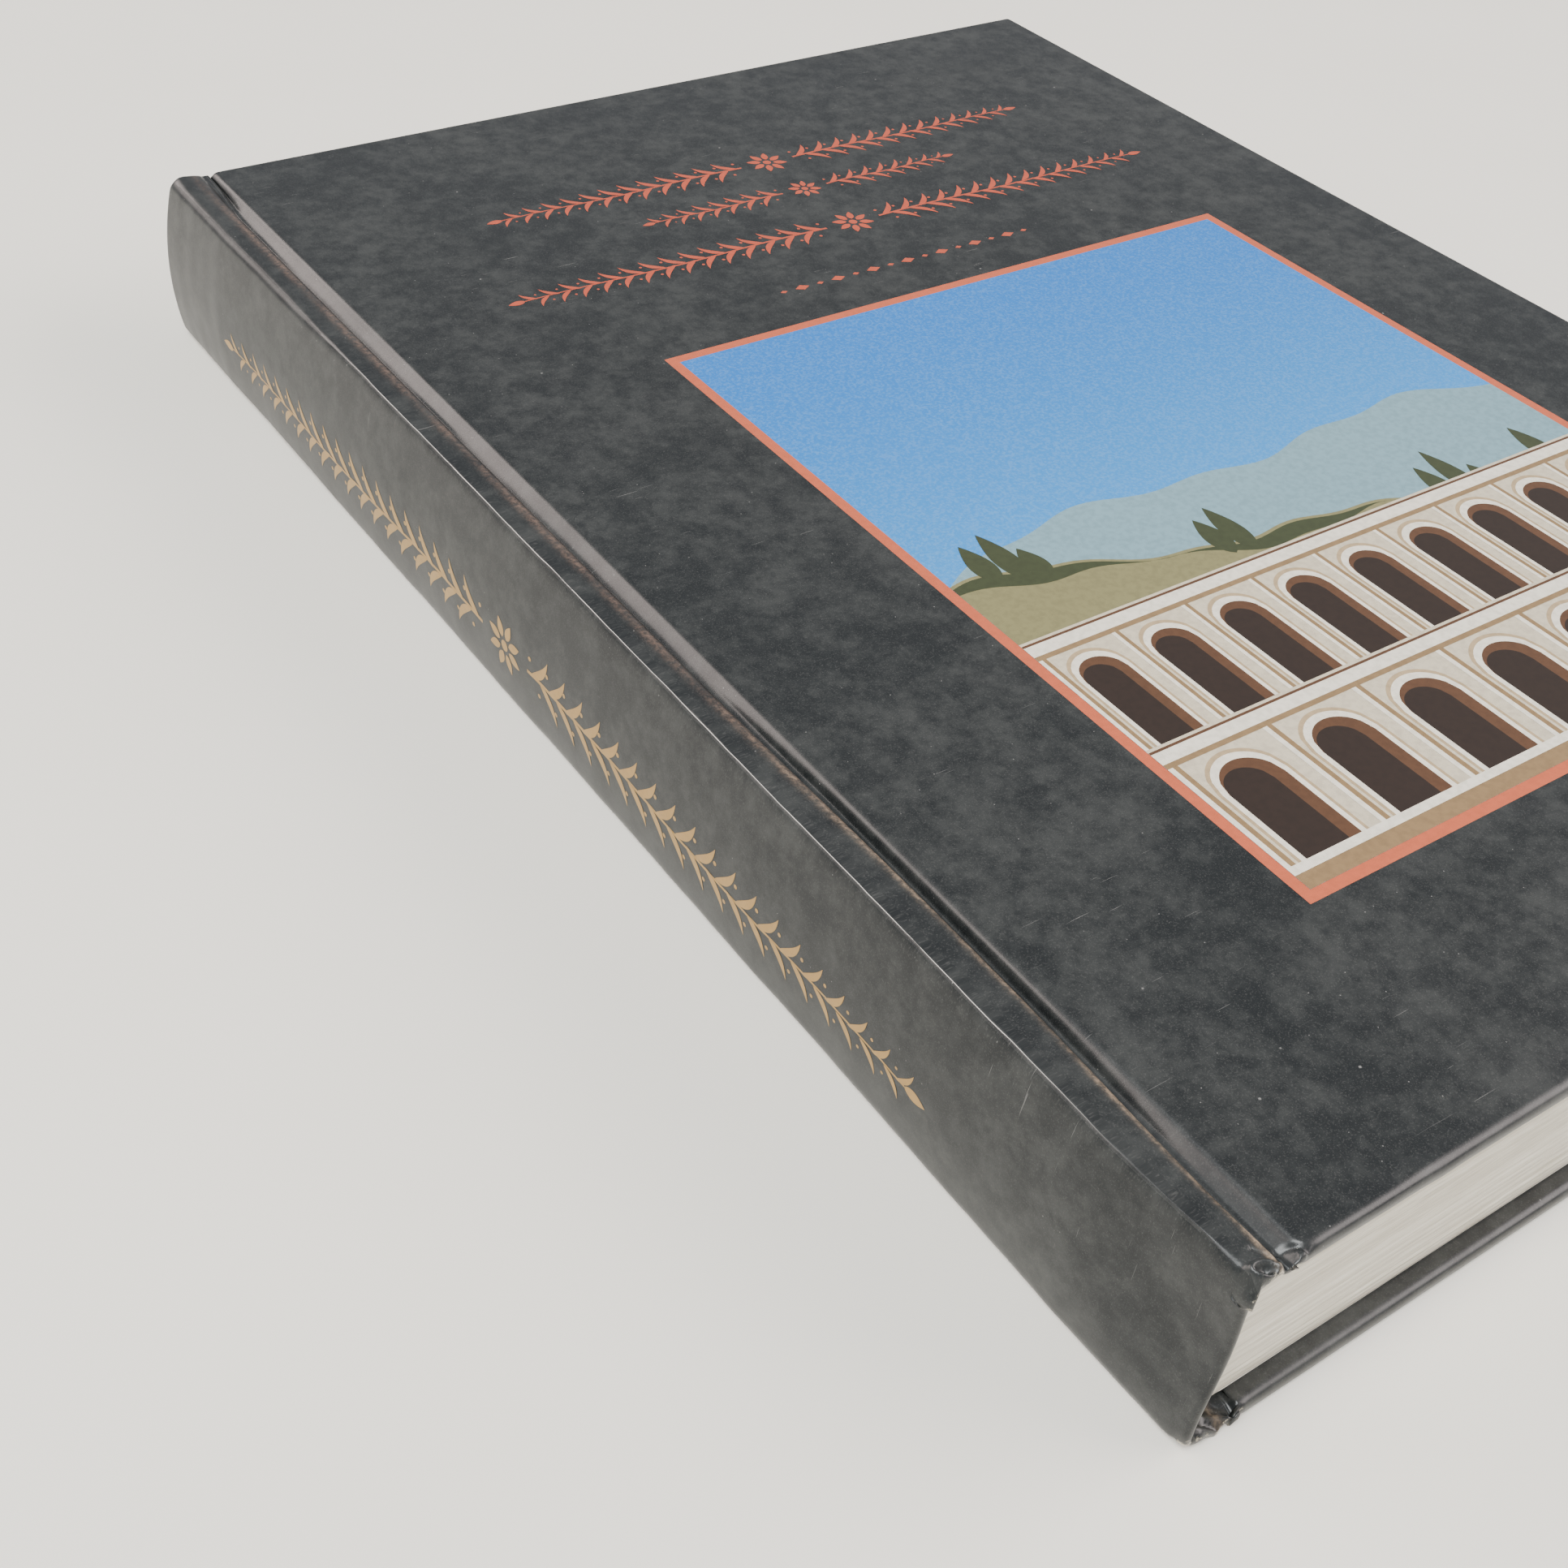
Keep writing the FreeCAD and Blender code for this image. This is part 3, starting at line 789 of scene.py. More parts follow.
def sky_ink():
    """The panel's ground: blue that pales downwards, with a fine print grain."""
    recipe = Recipe("sky_print")
    where = recipe.place("rest")
    height = recipe.node("ShaderNodeSeparateXYZ", {0: where}).outputs["Y"]
    share = recipe.between(height, PANEL_BOTTOM * MM, PANEL_TOP * MM)
    base = recipe.blend(share, tinted((66, 152, 208)), tinted((24, 108, 184)))
    grain = recipe.noise(where, 0.5, 1.0)
    base = recipe.blend(recipe.between(grain, 0.35, 0.75, 0.0, 0.12), base, tinted((170, 205, 228)))
    normal = recipe.bump(recipe.noise(where, 0.6, 2.0), 0.015, 0.3)
    return recipe.finish(base, 0.33, normal)


def page_edges():
    """Cut edges of coated leaves: near-white with fine lines along each leaf."""
    recipe = Recipe("leaf_edges")
    fine = recipe.noise(recipe.place(scale=(0.02, 0.02, 1)), 0.13, 2.0)
    gather = recipe.noise(recipe.place(scale=(0.01, 0.01, 1)), 1.4, 2.0)
    lines = recipe.sums("ADD", recipe.sums("MULTIPLY", fine, 0.6), recipe.sums("MULTIPLY", gather, 0.4))
    share = recipe.between(lines, 0.36, 0.62)
    colour = recipe.blend(share, tinted((186, 180, 162)), tinted((218, 213, 198)))
    stain = recipe.noise(recipe.place(), 40.0, 2.0)
    colour = recipe.blend(recipe.between(stain, 0.45, 0.75, 0.0, 0.25), colour, tinted((214, 204, 178)))
    normal = recipe.bump(lines, 0.06, 0.5)
    return recipe.finish(colour, 0.55, normal)


def plain_paper(name, rgb, roughness=0.7):
    """Uncoated paper or card with fibres and a slight cloudiness."""
    recipe = Recipe(name)
    clouds = recipe.noise(recipe.place("rest"), 12.0, 3.0)
    fibres = recipe.noise(recipe.place("rest", (1, 3, 1)), 0.7, 4.0, 0.65)
    cloudy, fibrous = (tinted([v * share for v in rgb]) for share in (0.94, 0.85))
    colour = recipe.blend(recipe.between(clouds, 0.3, 0.7, 0.0, 0.5), tinted(rgb), cloudy)
    colour = recipe.blend(recipe.between(fibres, 0.5, 0.75, 0.0, 0.35), colour, fibrous)
    return recipe.finish(colour, roughness, recipe.bump(fibres, 0.05, 0.35))


MATERIALS = {
    "cover": cover_paper(),
    "spine": cover_paper("spine_paper_print", 0.24),
    "border": print_ink("border_print", (184, 92, 62)),
    "sky": sky_ink(),
    "ornament": print_ink("copper_print", (176, 78, 54)),
    "spine_ornament": print_ink("gold_print", (158, 122, 58)),
    "leaves": page_edges(),
    "endpaper": plain_paper("endpaper", (232, 228, 214)),
    "board": plain_paper("greyboard", (168, 162, 148), 0.85),
    "card": plain_paper("spine_card", (200, 192, 172), 0.85),
    "lining": plain_paper("lining_cloth", (216, 210, 194), 0.9),
}


def joined(grids, flips, mirrored):
    """Grids welded to one mesh, each with its own winding, or their mirror image for the back."""
    points = np.concatenate([grid.reshape(-1, 3) for grid in grids])
    quads = []
    start = 0
    for grid, flip in zip(grids, flips):
        rows, columns = grid.shape[:2]
        quads.append(grid_faces(rows, columns, start, flip != mirrored))
        start += rows * columns
    if mirrored:
        points = points * [1, 1, -1] + [0, 0, TOP]
    keep, quads, triangles = weld(points, np.concatenate(quads))
    return points[keep], quads, triangles


def case_piece(name, grids, flips, materials, mirrored=False):
    """A sheet bent into shape by use and given thickness, with its unworn places stored for the print."""
    points, quads, triangles = joined(grids, flips, mirrored)
    moved, all_quads, all_triangles, flat_from = thickened(in_use(points), quads, triangles, PAPER * 0.8)
    thing = new_object(name, moved, all_quads, all_triangles, materials, flat_from)
    store(thing, "rest", np.tile(points * MM, (2, 1)))
    store(thing, "wear_and_highlight", np.tile(wear_and_highlight_of(points), (2, 1)))
    return thing


def face_centres(mesh):
    centres = np.zeros(len(mesh.polygons) * 3, np.float32)
    mesh.polygons.foreach_get("center", centres)
    return centres.reshape(-1, 3) / MM


def paint_panel(thing):
    """Faces inside the printed border and inside the panel get their own inks."""
    x, y, z = face_centres(thing.data).T
    on_top = z > TOP - 1

    def inside(low, high):
        return (x > PANEL_X[low]) & (x < PANEL_X[high]) & (y > PANEL_Y[low]) & (y < PANEL_Y[high]) & on_top

    inks = inside(0, 3).astype(np.int32) + inside(1, 2)
    thing.data.polygons.foreach_set("material_index", inks.astype(np.int32))


def make_spine_paper():
    outer = spine_path()
    sheet = sheet_grid(outer, spine_lining_path(outer))
    spine = case_piece("spine_paper", [sheet], [True], [MATERIALS["cover"], MATERIALS["spine"]])
    centres = face_centres(spine.data)
    on_face = (np.minimum(TOP - centres[:, 2], centres[:, 2]) > 0.35) & (centres[:, 0] < RIDGE_X + 1.5)
    spine.data.polygons.foreach_set("material_index", on_face.astype(np.int32))
    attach(spine, ROOT)
    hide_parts("spine_cover_paper")


def make_cover(name, body, mirrored):
    outer = joint_path()
    turned = np.stack([outer[:, 0], np.full(len(outer), TOP - COVER_DEPTH)], 1)
    grids = [sheet_grid(outer, turned), flat_grid(), rim_grid()]
    materials = [MATERIALS["cover"]]
    if not mirrored:
        materials += [MATERIALS["border"], MATERIALS["sky"]]
    cover = case_piece(name, grids, [False, False, True], materials, mirrored)
    if not mirrored:
        paint_panel(cover)
    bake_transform(cover)
    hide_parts(f"{body}_paper")


def solid_points(section, rows):
    """A solid along the spine: a filled section grid of x and z at its two ends, its outline between them."""
    outline = np.concatenate([section[0, :-1], section[:-1, -1], section[-1, :0:-1], section[::-1, 0]])
    wall = np.stack(np.broadcast_arrays(outline[None, :, 0], rows[:, None], outline[None, :, 1]), -1)
    ends = (rows[0], rows[-1])
    tail, head = (np.stack(np.broadcast_arrays(section[..., 0], y, section[..., 1]), -1) for y in ends)
    return [wall, tail, head]


def solid_piece(name, section, rows, material, shape=in_use, mirrored=False):
    """A closed solid made from its section and rows, then moved by the shape function."""
    points, quads, triangles = joined(solid_points(section, rows), (True, False, True), mirrored)
    thing = new_object(name, shape(points), quads, triangles, [material])
    store(thing, "rest", points * MM)
    return thing


def between_lines(lower, upper, count):
    """A section grid filled between two lines that have the same number of points."""
    share = steps(0, 1, count)[:, None, None]
    return lower[None] * (1 - share) + upper[None] * share


LEAF_TAIL, LEAF_HEAD = block_low[1], block_high[1]
LEAF_BOTTOM, LEAF_TOP = block_low[2], block_high[2]
LEAF_DEPTH = 2.05
LEAF_WIDTH = 210.0
CARD_DEPTH = 0.28
CARD_THICKNESS = 0.95
LINING_DEPTH = 1.66
LINING_THICKNESS = 0.36


def make_spine_card():
    z = steps(RIDGE_RADIUS, TOP - RIDGE_RADIUS, 30)
    outer = np.stack([spine_arc_x(CARD_DEPTH, z), z], 1)
    inner = np.stack([spine_arc_x(CARD_DEPTH + CARD_THICKNESS, z), z], 1)
    rows = Y_ROWS.copy()
    rows[0], rows[-1] = TAIL + 0.35, HEAD - 0.35
    card = solid_piece("spine_card", between_lines(inner, outer, 3), rows, MATERIALS["card"])
    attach(card, ROOT)
    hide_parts("spine_inlay")


def make_spine_lining():
    """Cloth over the backs of the leaves and a wing on each side as far as the groove."""
    wing_z = TOP - COVER_DEPTH - 0.2
    z = steps(TOP - wing_z, wing_z, 31)
    outer = np.stack([spine_arc_x(LINING_DEPTH, z), z], 1)
    inner = np.stack([spine_arc_x(LINING_DEPTH + LINING_THICKNESS, z), z], 1)
    wing_x = steps(0, 1, 6)[1:, None] * (HINGE_X - outer[-1, 0]) + outer[-1, 0]
    top_out = np.stack([wing_x[:, 0], np.full(5, wing_z)], 1)
    top_in = np.stack([wing_x[:, 0], np.full(5, wing_z - 0.12)], 1)
    inner[-1, 1] = wing_z - 0.12
    inner[0, 1] = TOP - inner[-1, 1]
    bottom_out = top_out[::-1] * [1, -1] + [0, TOP]
    bottom_in = top_in[::-1] * [1, -1] + [0, TOP]
    outer = np.concatenate([bottom_out, outer, top_out])
    inner = np.concatenate([bottom_in, inner, top_in])
    rows = steps(lining_low[1], lining_high[1], 120)
    section = between_lines(inner, outer, 2)
    lining = solid_piece("lining_cloth", section, rows, MATERIALS["lining"], leaned_spine)
    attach(lining, ROOT)
    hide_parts("spine_lining")


def leaned_spine(points):
    """Leaves and lining follow the spine's push alone."""
    x = points[:, 0] - RIDGE_X
    moved = points.copy()
    y = points[:, 1] - TAIL
    push = spine_push(y, points[:, 2]) + SPINE_WAVE * ripple(y, 3)
    moved[:, 0] += (1 - smooth(0.5, 14.0, x)) * push
    return moved


# Levels through the leaves that stand out on their own, and how many of them make a gathering
UNEVEN_LEVELS = 140
GATHERED = 5


def uneven_leaves(points):
    """Cut leaves stand a little unevenly at tail, head and fore edge, and follow the leaning spine."""
    moved = leaned_spine(points)
    z = points[:, 2]
    rng = np.random.default_rng(21)
    levels = steps(LEAF_BOTTOM, LEAF_TOP, UNEVEN_LEVELS)
    single = rng.normal(0, 1, UNEVEN_LEVELS)
    gathered = np.repeat(rng.normal(0, 1, UNEVEN_LEVELS // GATHERED), GATHERED)
    jut = np.interp(z, levels, 0.035 * single + 0.05 * gathered)
    slow = 0.12 * np.sin(points[:, 0] / 31.0) + 0.1 * np.sin(z / 4.1 + points[:, 0] / 60.0)
    at_tail = points[:, 1] < LEAF_TAIL + 0.01
    at_head = points[:, 1] > LEAF_HEAD - 0.01
    moved[:, 1] += at_tail * (jut + slow) - at_head * (jut + slow)
    fore = smooth(FORE - 12, FORE - 4, points[:, 0])
    moved[:, 0] += fore * (jut * 1.2 + 0.15 * np.sin(points[:, 1] / 47.0))
    return moved


def make_leaves():
    z = steps(LEAF_BOTTOM, LEAF_TOP, 133)
    back = np.stack([spine_arc_x(LEAF_DEPTH, z), z], 1)
    fore = back + [LEAF_WIDTH, 0]
    share = np.concatenate([steps(0, 0.08, 10), steps(0.1, 0.94, 30), steps(0.96, 1, 5)])
    section = back[:, None] + (fore - back)[:, None] * share[None, :, None]
    rows = steps(LEAF_TAIL, LEAF_HEAD, 100)
    leaves = solid_piece("leaves", section, rows, MATERIALS["leaves"], uneven_leaves)
    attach(leaves, ROOT)
    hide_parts("text_block")


def make_board(name, body, mirrored):
    """Board: flat inside, its spine edge and outer edges rounded under the paper."""
    top, bottom = TOP - PAPER, TOP - COVER_DEPTH + PAPER
    fore = FORE - PAPER
    joint = BOARD_ROUND - PAPER
    rim = EDGE_ROUND - PAPER
    upper = path(
        np.array([[BOARD_X, bottom + 0.1], [BOARD_X, top - joint]]),
        arc_line((BOARD_X + joint, top - joint), joint, 180, 90, 8),
        straight_line((BOARD_X + joint, top), (fore - rim, top), 40),
        arc_line((fore - rim, top - rim), rim, 90, 0, 7),
        np.array([[fore, top - rim], [fore, bottom + rim]]),
    )
    lower = np.stack([upper[:, 0], np.full(len(upper), bottom)], 1)
    lower[-1, 0] = fore - rim
    section = between_lines(lower, upper, 3)
    rows = Y_ROWS.copy()
    rows[0], rows[-1] = TAIL + PAPER + 0.03, HEAD - PAPER - 0.03

    def rounded_ends(points):
        near = np.minimum(points[:, 1] - TAIL, HEAD - points[:, 1]) - PAPER
        shrink = rim - np.sqrt(np.clip(rim**2 - np.clip(rim - near, 0, rim) ** 2, 0, None))
        rounded = points.copy()
        rounded[:, 0] = np.minimum(points[:, 0], fore - shrink)
        z = points[:, 2] if not mirrored else TOP - points[:, 2]
        z = np.clip(z, bottom + shrink, top - shrink)
        rounded[:, 2] = z if not mirrored else TOP - z
        return in_use(rounded, paper=False)

    board = solid_piece(name, section, rows, MATERIALS["board"], rounded_ends, mirrored)
    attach(board, body)
    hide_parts(name.replace("_greyboard", "_board"))


def make_flyleaf(name, mirrored):
    z = LEAF_TOP + 0.09
    near, fore = flyleaf_low[0], flyleaf_high[0]
    x = np.concatenate([steps(near + 0.4, near + 12, 12), steps(near + 16, fore, 30)])
    line = np.stack([x, np.full(len(x), z)], 1)
    section = between_lines(line - [0, 0.07], line + [0, 0.05], 2)
    rows = steps(flyleaf_low[1], flyleaf_high[1], 60)
    sheet = solid_piece(name, section, rows, MATERIALS["endpaper"], leaned_spine, mirrored)
    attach(sheet, ROOT)
    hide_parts(name.replace("_endleaf", "_flyleaf"))


PRESSED_DEPTH = 0.18


def make_pastedown(name, mirrored):
    """Endpaper glued inside the cover and across the joint. The turn-ins' edges show through it."""
    low = pastedown_low[2] + 0.02
    inner_x, outer_x = flyleaf_low[0] + 0.5, pastedown_high[0]
    x = np.unique(np.concatenate([
        steps(inner_x, HINGE_X, 8),
        steps(HINGE_X, BOARD_X + 2, 25),
        steps(BOARD_X + 4, FORE - TURN_IN - 4, 40),
        steps(FORE - TURN_IN - 3, FORE - TURN_IN + 1, 9),
        steps(FORE - TURN_IN + 2, outer_x, 4),
    ]))
    rise = smooth(HINGE_X, BOARD_X - 0.5, x)
    bottom = np.stack([x, LEAF_TOP + 0.16 + (low - LEAF_TOP - 0.16) * rise], 1)
    top = np.stack([x, bottom[:, 1] + 0.07 + 0.1 * rise], 1)
    near_end = steps(0, 18, 25)
    tail, head = pastedown_low[1], pastedown_high[1]
    rows = np.concatenate([tail + near_end, steps(tail + 20, head - 20, 60), (head - near_end)[::-1]])

    def pressed(points):
        """The sheet sinks to the board inside the turn-ins."""
        x = points[:, 0]
        end = np.minimum(points[:, 1] - TAIL, HEAD - points[:, 1])
        inside = smooth(TURN_IN - 0.6, TURN_IN + 0.6, end)
        inside = inside * (1 - smooth(FORE - TURN_IN - 0.6, FORE - TURN_IN + 0.6, x))
        inside = inside * smooth(BOARD_X, BOARD_X + 1.5, x)
        moved = points.copy()
        moved[:, 2] += inside * (-PRESSED_DEPTH if mirrored else PRESSED_DEPTH)
        return leaned_spine(moved)

    sheet = solid_piece(name, between_lines(bottom, top, 2), rows, MATERIALS["endpaper"], pressed, mirrored)
    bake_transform(sheet)
    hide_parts(name.replace("_endpaper", "_pastedown"))


def ribbon(centre, half_width):
    """A flat strip along a centre line: points either side of it, square to it, by the half width."""
    along = np.gradient(centre, axis=0)
    along = along / np.maximum(np.hypot(*along.T), 1e-9)[:, None]
    square = np.stack([-along[:, 1], along[:, 0]], 1) * np.asarray(half_width)[:, None]
    return np.stack([centre - square, centre + square])


def lens(start, end, half_width, bend=0.0, count=13):
    """A leaf from start to end: a bent centre line whose width swells and closes like a lens."""
    t = steps(0, 1, count)
    start, end = np.array(start, float), np.array(end, float)
    span = end - start
    centre = start + span * t[:, None] + np.array([-span[1], span[0]]) * (bend * 4 * t * (1 - t))[:, None]
    return ribbon(centre, half_width * np.sin(np.pi * t**0.8) ** 0.9)


def lozenge(centre, half_length, half_width):
    """A diamond that lies along the line."""
    x, y = centre
    return ribbon(np.array([[x - half_length, y], [x, y], [x + half_length, y]]), [0.0, half_width, 0.0])


def disc(centre, radius, count=11):
    angle = steps(np.pi, 0, count)
    line = np.stack([centre[0] + radius * np.cos(angle), np.full(count, centre[1])], 1)
    half = np.stack([0 * angle, radius * np.sin(angle)], 1)
    return np.stack([line - half, line + half])


def branch(start, end, middle, height, pitch):
    """A laurel branch from foot to tip: a thin stem, leaves by turns on its two sides, and berries."""
    way = 1 if end > start else -1
    reach = abs(end - start) - 0.4 * height
    t = steps(0, 1, 40)
    stem = np.stack([start + way * reach * t, middle + 0.03 * height * np.sin(9 * t)], 1)
    shapes = [(ribbon(stem, 0.03 * height * (1 - 0.5 * t)), 0, 0)]
    shapes.append((lens(stem[-1], (end, middle), 0.085 * height), 0, 1))
    for order in range(int(2 * reach / pitch)):
        side = 1 if order % 2 == 0 else -1
        along = (order + 0.4) * pitch / 2
        size = 0.5 * height * (1 - 0.4 * (along / reach) ** 3)
        foot = (start + way * along, middle)
        tip = (start + way * (along + 0.95 * size), middle + side * size)
        shapes.append((lens(foot, tip, 0.14 * size, -0.13 * side * way), 0, 2 if side > 0 else 3))
        berry = (start + way * (along - 0.05 * size), middle + side * 0.52 * size)
        shapes.append((disc(berry, 0.075 * size), 0, 1))
    return shapes


def rosette(centre, radius, petals=8):
    """A flower of narrow petals round a small disc."""
    shapes = [(disc(centre, 0.2 * radius), 0, 0)]
    for petal in range(petals):
        angle = 2 * math.pi * (petal + 0.5) / petals
        way = np.array([math.cos(angle), math.sin(angle)])
        foot, tip = np.array(centre) + 0.3 * radius * way, np.array(centre) + radius * way
        shapes.append((lens(foot, tip, 0.17 * radius, 0.0, 9), 0, 1 + petal % 2))
    return shapes


def laid_piece(name, shapes, materials, place, body, across=2):
    """Flat shapes laid on the case by a place function that takes their coordinates and a layer number."""
    points, quads, inks = [], [], []
    start = 0
    for lines, ink, layer in shapes:
        lines = between_lines(lines[0], lines[1], across)
        rows, columns = lines.shape[:2]
        points.append(place(lines.reshape(-1, 2), layer))
        quads.append(grid_faces(rows, columns, start, flip=True))
        inks.append(np.full((rows - 1) * (columns - 1), ink))
        start += rows * columns
    laid, rest = (np.concatenate(part) for part in zip(*points))
    thing = new_object(name, laid, np.concatenate(quads), None, materials)
    thing.data.polygons.foreach_set("material_index", np.concatenate(inks).astype(np.int32))
    store(thing, "rest", rest * MM)
    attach(thing, body)


PRINT_LIFT = 0.012
PRINT_LAYER = 0.006


def on_cover(flat, layer):
    """Distances from the ridge and the tail laid on the front cover."""
    rest = np.stack([RIDGE_X + flat[:, 0], TAIL + flat[:, 1], np.full(len(flat), TOP)], 1)
    return in_use(rest) + [0, 0, PRINT_LIFT + PRINT_LAYER * layer], rest


def on_spine(flat, layer):
    """Distances from the tail and from the underside laid on the curved spine."""
    rest = np.stack([spine_arc_x(0, flat[:, 1]), TAIL + flat[:, 0], flat[:, 1]], 1)
    return in_use(rest) - [2 * PRINT_LIFT + PRINT_LAYER * layer, 0, 0], rest


# Rows of ornament where the cover's lettering stands: distance from the tail, the rosette's radius, the
# ends of the left and the right branch from the ridge, and the branches' height and pitch
TITLE_ROWS = (
    (258, 4.4, (105.5, 46), (118.5, 180), 8.6, 4.6),
    (244, 3.6, (106.5, 73), (117.5, 151), 7.4, 4.0),
    (227, 4.4, (105.5, 34), (118.5, 190), 8.8, 4.6),
)
TITLE_MIDDLE = 112
LOZENGE_ROW = 208.5
LOZENGE_START = 82.5
LOZENGE_PITCH = 4.2
LOZENGES = 15
LOZENGE_SIZES = ((0.8, 0.5), (1.6, 0.95))


def make_title_ornaments():
    shapes = []
    for row, radius, left, right, height, pitch in TITLE_ROWS:
        shapes += rosette((TITLE_MIDDLE, row), radius)
        shapes += branch(*left, row, height, pitch) + branch(*right, row, height, pitch)
    for step in range(LOZENGES):
        centre = (LOZENGE_START + step * LOZENGE_PITCH, LOZENGE_ROW)
        shapes.append((lozenge(centre, *LOZENGE_SIZES[step % 2]), 0, 0))
    laid_piece("title_ornaments", shapes, [MATERIALS["ornament"]], on_cover, FRONT)


SPINE_LINE = 12.2
SPINE_BRANCH = (11.0, 5.4)


def make_spine_ornaments():
    shapes = rosette((162, SPINE_LINE), 5.2)
    shapes += branch(154.5, 50, SPINE_LINE, *SPINE_BRANCH) + branch(169.5, 275, SPINE_LINE, *SPINE_BRANCH)
    laid_piece("spine_ornaments", shapes, [MATERIALS["spine_ornament"]], on_spine, ROOT, 5)


PANEL_INKS = {
    "haze": (118, 150, 160),
    "hill": (122, 118, 82),
    "olive": (56, 62, 40),
    "slope": (168, 148, 116),
    "stone": (194, 184, 162),
    "light": (222, 216, 200),
    "shade": (132, 108, 76),
    "brown": (84, 58, 40),
    "deep": (42, 32, 26),
}


# An arch's fields from the back to the front: ink, start and end as shares of the bay, distance under the
# storey's top, and layer
ARCH_LAYERS = (
    ("slope", 0.13, 0.87, 5.4, 4),
    ("light", 0.16, 0.84, 6.2, 5),
    ("brown", 0.21, 0.79, 7.6, 6),
    ("deep", 0.21, 0.66, 9.2, 7),
)
# Trees in the panel's view: distance from its left side and height
TREES = ((8, 15), (12.5, 19), (16, 12), (47, 14), (51, 18), (93, 16), (98, 21), (102.5, 13), (119, 17))


def panel_shapes():
    """A made-up view for the panel over its printed sky: two lines of hills with trees and a two-storey
    arcade.
    """
    left, right = PANEL_X[1] - RIDGE_X, PANEL_X[2] - RIDGE_X
    foot = PANEL_Y[1] - TAIL
    inks = {name: index for index, name in enumerate(PANEL_INKS)}
    shapes = []

    def field(ink, lower, upper, layer):
        shapes.append((np.stack([lower, upper]), inks[ink], layer))

    def bar(ink, x0, x1, y0, y1, layer, pieces=2):
        x = steps(x0, x1, pieces)
        field(ink, np.stack([x, 0 * x + y0], 1), np.stack([x, 0 * x + y1], 1), layer)

    def arch(ink, x0, x1, y0, y1, layer):
        x = steps(x0, x1, 21)
        half = (x1 - x0) / 2
        top = y1 - half + np.sqrt(np.clip(half**2 - (x - (x0 + x1) / 2) ** 2, 0, None))
        field(ink, np.stack([x, 0 * x + y0], 1), np.stack([x, top], 1), layer)

    x = steps(left, right, 90)
    share = (x - left) / (right - left)
    far = foot + 72 + 12 * np.sin(2.2 * share + 0.4) + 3 * np.sin(9 * share) + 0.9 * np.sin(31 * share)
    near = foot + 66 + 9 * np.cos(3.6 * share + 0.2) + 2.2 * np.sin(12 * share + 1)
    near = near + 0.6 * np.sin(43 * share)
    ground = 0 * x + foot
    field("haze", np.stack([x, ground], 1), np.stack([x, far], 1), 0)
    field("hill", np.stack([x, ground], 1), np.stack([x, near], 1), 1)
    hedge = near - 2.4 - 1.8 * np.sin(17 * share)
    field("olive", np.stack([x, hedge], 1), np.stack([x, near - 0.7], 1), 2)
    for order, (place, tall) in enumerate(TREES):
        base = float(np.interp(left + place, x, near)) - 3
        crown = lens((left + place, base), (left + place, base + 0.75 * tall), 2.2, 0.0, 17)
        shapes.append((crown, inks["olive"], 2.25 + 0.25 * (order % 3)))

    base, storey = foot + 4, 28.0
    bar("stone", left, right, foot, base + 2 * storey, 3)
    bar("shade", left, right, foot, base - 1.2, 4)
    for level, bays in enumerate((7, 9)):
        floor = base + level * storey
        pitch = (right - left) / bays
        for bay in range(bays):
            x0 = left + bay * pitch
            for ink, start, end, below, layer in ARCH_LAYERS:
                arch(ink, x0 + start * pitch, x0 + end * pitch, floor, floor + storey - below, layer)
            bar("shade", x0 + 0.05 * pitch, x0 + 0.1 * pitch, floor, floor + storey - 4.4, 8)
            bar("light", x0, x0 + 0.05 * pitch, floor, floor + storey - 4.4, 8)
        bar("shade", left, right, floor + storey - 4.6, floor + storey - 3.4, 9)
        bar("light", left, right, floor + storey - 3.6, floor + storey - 1.1, 10)
        bar("brown", left, right, floor + storey - 1.1, floor + storey - 0.6, 11)
    bar("light", left, right, base - 1.2, base + 0.4, 9)
    return shapes


def make_panel_print():
    inks = [print_ink(f"panel_{name}", rgb, 0.4) for name, rgb in PANEL_INKS.items()]
    laid_piece("panel_print", panel_shapes(), inks, on_cover, FRONT)


make_spine_paper()
make_cover("front_paper", FRONT, False)
make_cover("back_paper", BACK, True)
make_title_ornaments()
make_spine_ornaments()
make_panel_print()
make_spine_card()
make_spine_lining()
make_leaves()
make_board("front_greyboard", FRONT, False)
make_board("back_greyboard", BACK, True)
make_flyleaf("front_endleaf", False)
make_flyleaf("back_endleaf", True)
make_pastedown("front_endpaper", False)
make_pastedown("back_endpaper", True)


FLOOR_HALF = 3000.0
FLOOR_BELOW = 0.02


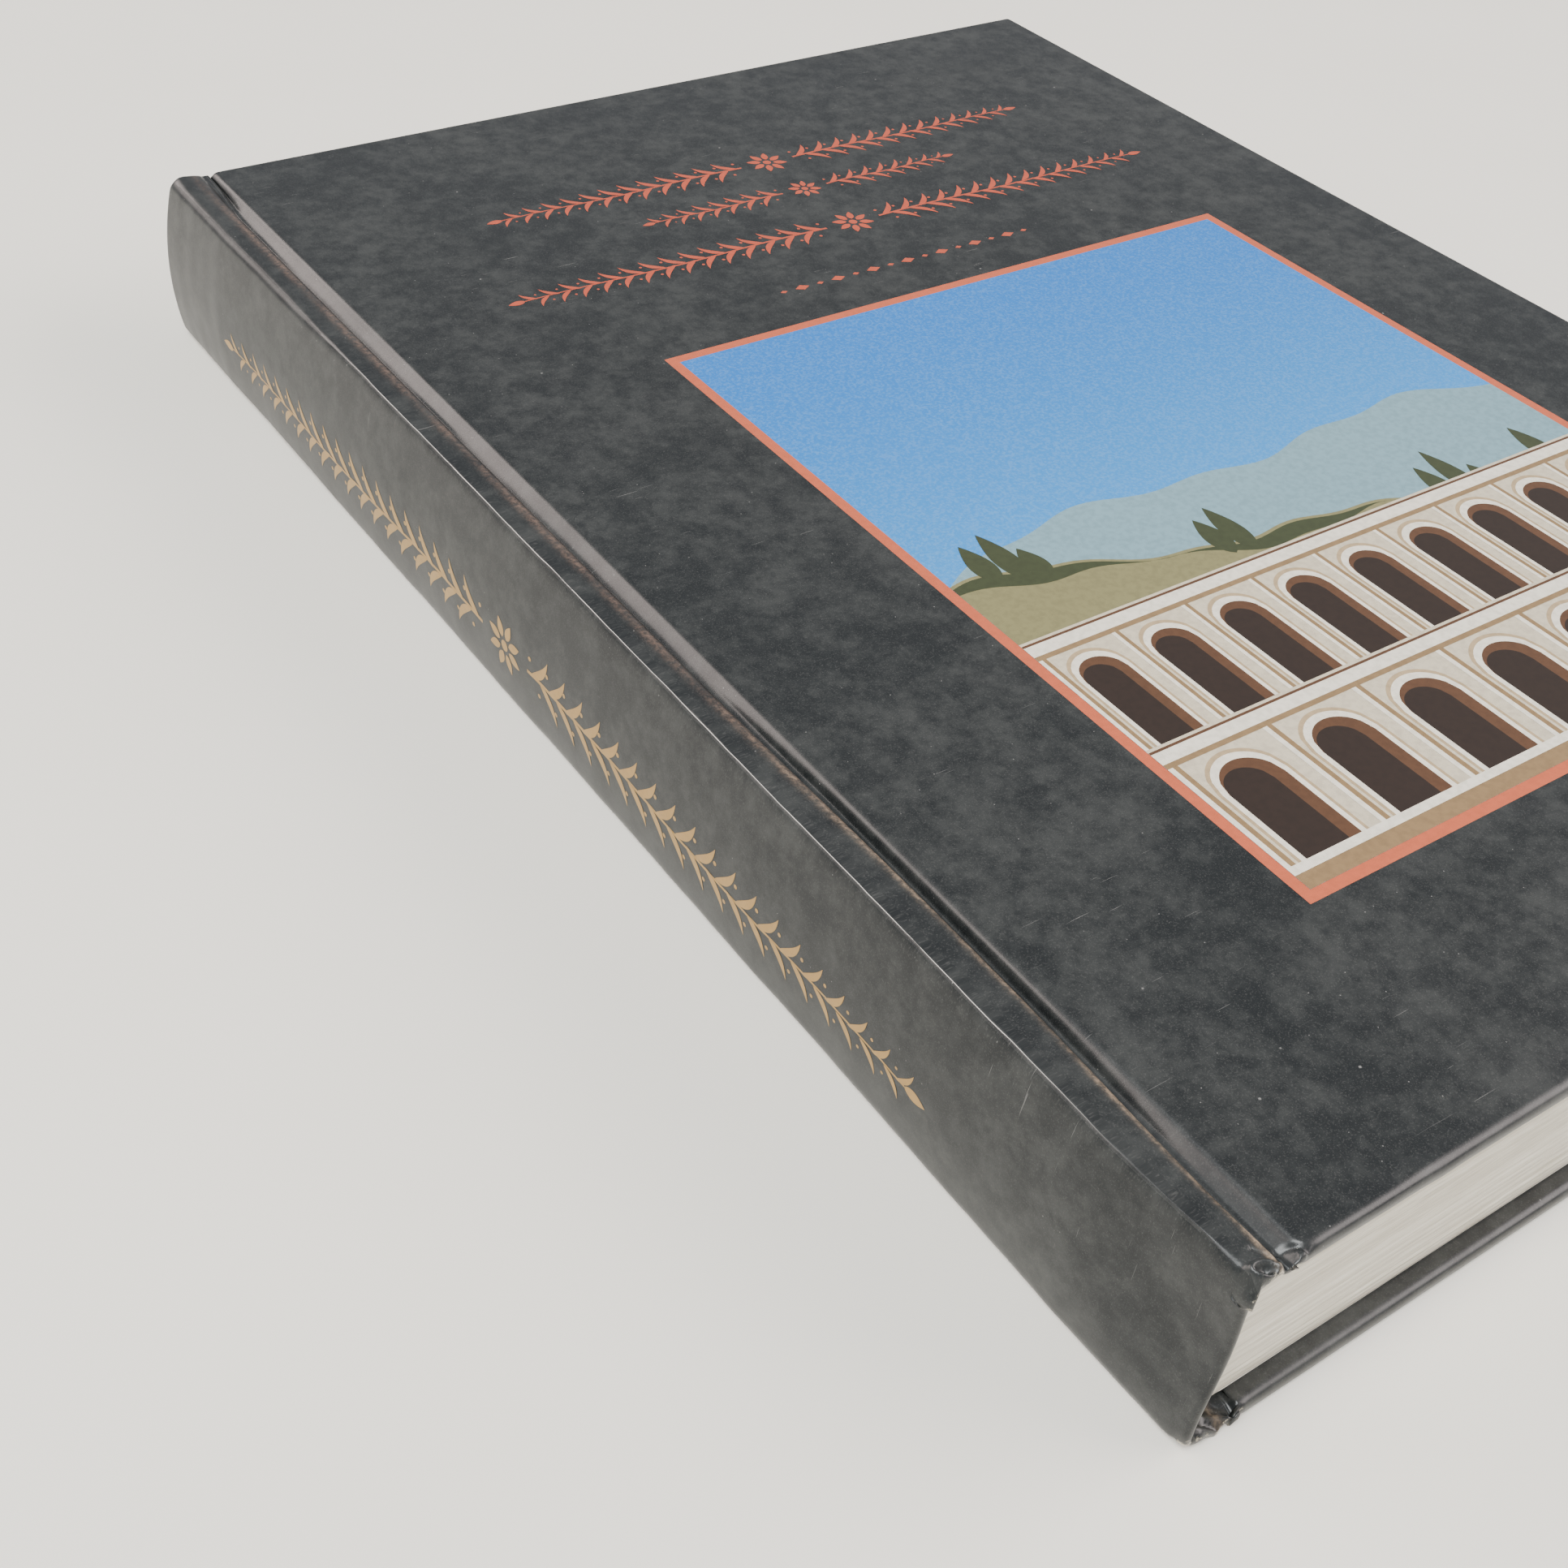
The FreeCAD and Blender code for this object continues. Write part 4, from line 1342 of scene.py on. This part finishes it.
def make_floor():
    corners = ((-1, -1), (1, -1), (1, 1), (-1, 1))
    points = np.array([[x * FLOOR_HALF, y * FLOOR_HALF, -FLOOR_BELOW] for x, y in corners])
    recipe = Recipe("pale_floor")
    clouds = recipe.noise(recipe.place(), 60.0, 2.0)
    colour = recipe.blend(clouds, tinted((232, 229, 218)), tinted((236, 233, 224)))
    floor = new_object("floor", points, np.array([[0, 1, 2, 3]]), None, [recipe.finish(colour, 0.6)])
    floor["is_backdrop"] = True


# The lights round the book: place and size in metres, power in watts and colour
LIGHTS = {
    "window": ((-1.95, 2.1, 1.45), (3.0, 1.2), 74, (1.0, 0.86, 0.8)),
    "overhead": ((-1.4, -0.6, 2.5), (1.8, 1.8), 140, (0.98, 1.0, 1.0)),
    "tail_side": ((1.5, -0.95, 1.15), (1.9, 1.3), 50, (1.0, 0.89, 0.86)),
}
WORLD_COLOUR = (0.93, 0.95, 1.0, 1)
WORLD_STRENGTH = 0.42


def area_light(name, place, size, power, colour):
    """A rectangular light that faces the middle of the book's base."""
    light = bpy.data.lights.new(name, "AREA")
    light.shape = "RECTANGLE"
    light.size, light.size_y = size
    light.energy = power
    light.color = colour
    thing = bpy.data.objects.new(name, light)
    thing.location = place
    thing.rotation_euler = (-Vector(place)).to_track_quat("-Z", "Y").to_euler()
    bpy.context.scene.collection.objects.link(thing)


def make_lights():
    for name, settings in LIGHTS.items():
        area_light(name, *settings)
    world = bpy.data.worlds.new("studio")
    world.use_nodes = True
    background = world.node_tree.nodes["Background"].inputs
    background["Color"].default_value = WORLD_COLOUR
    background["Strength"].default_value = WORLD_STRENGTH
    bpy.context.scene.world = world


# Camera, solved from the photograph's perspective: place in millimetres, direction of view, roll, and
# focal length as a share of the picture's width
CAMERA_PLACE = (-227.15, -218.22, 208.31)
CAMERA_FORWARD = (0.46301, 0.59581, -0.65623)
CAMERA_ROLL_DEG = 5.25
SENSOR_MM = 36.0
FOCAL_SHARE = 2437.0 / 1932.0


def make_camera():
    data = bpy.data.cameras.new("camera")
    data.sensor_width = SENSOR_MM
    data.lens = SENSOR_MM * FOCAL_SHARE
    data.clip_start = 0.01
    camera = bpy.data.objects.new("camera", data)
    camera.rotation_mode = "QUATERNION"
    level = Vector(CAMERA_FORWARD).to_track_quat("-Z", "Y")
    camera.rotation_quaternion = level @ Quaternion((0, 0, 1), math.radians(CAMERA_ROLL_DEG))
    camera.location = Vector(CAMERA_PLACE) * MM
    bpy.context.scene.collection.objects.link(camera)
    bpy.context.scene.camera = camera


make_floor()
make_lights()
make_camera()
sizes = {"cad": cad_box, "visual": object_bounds()}
{key: [list(map(float, corner)) for corner in value] for key, value in sizes.items()}
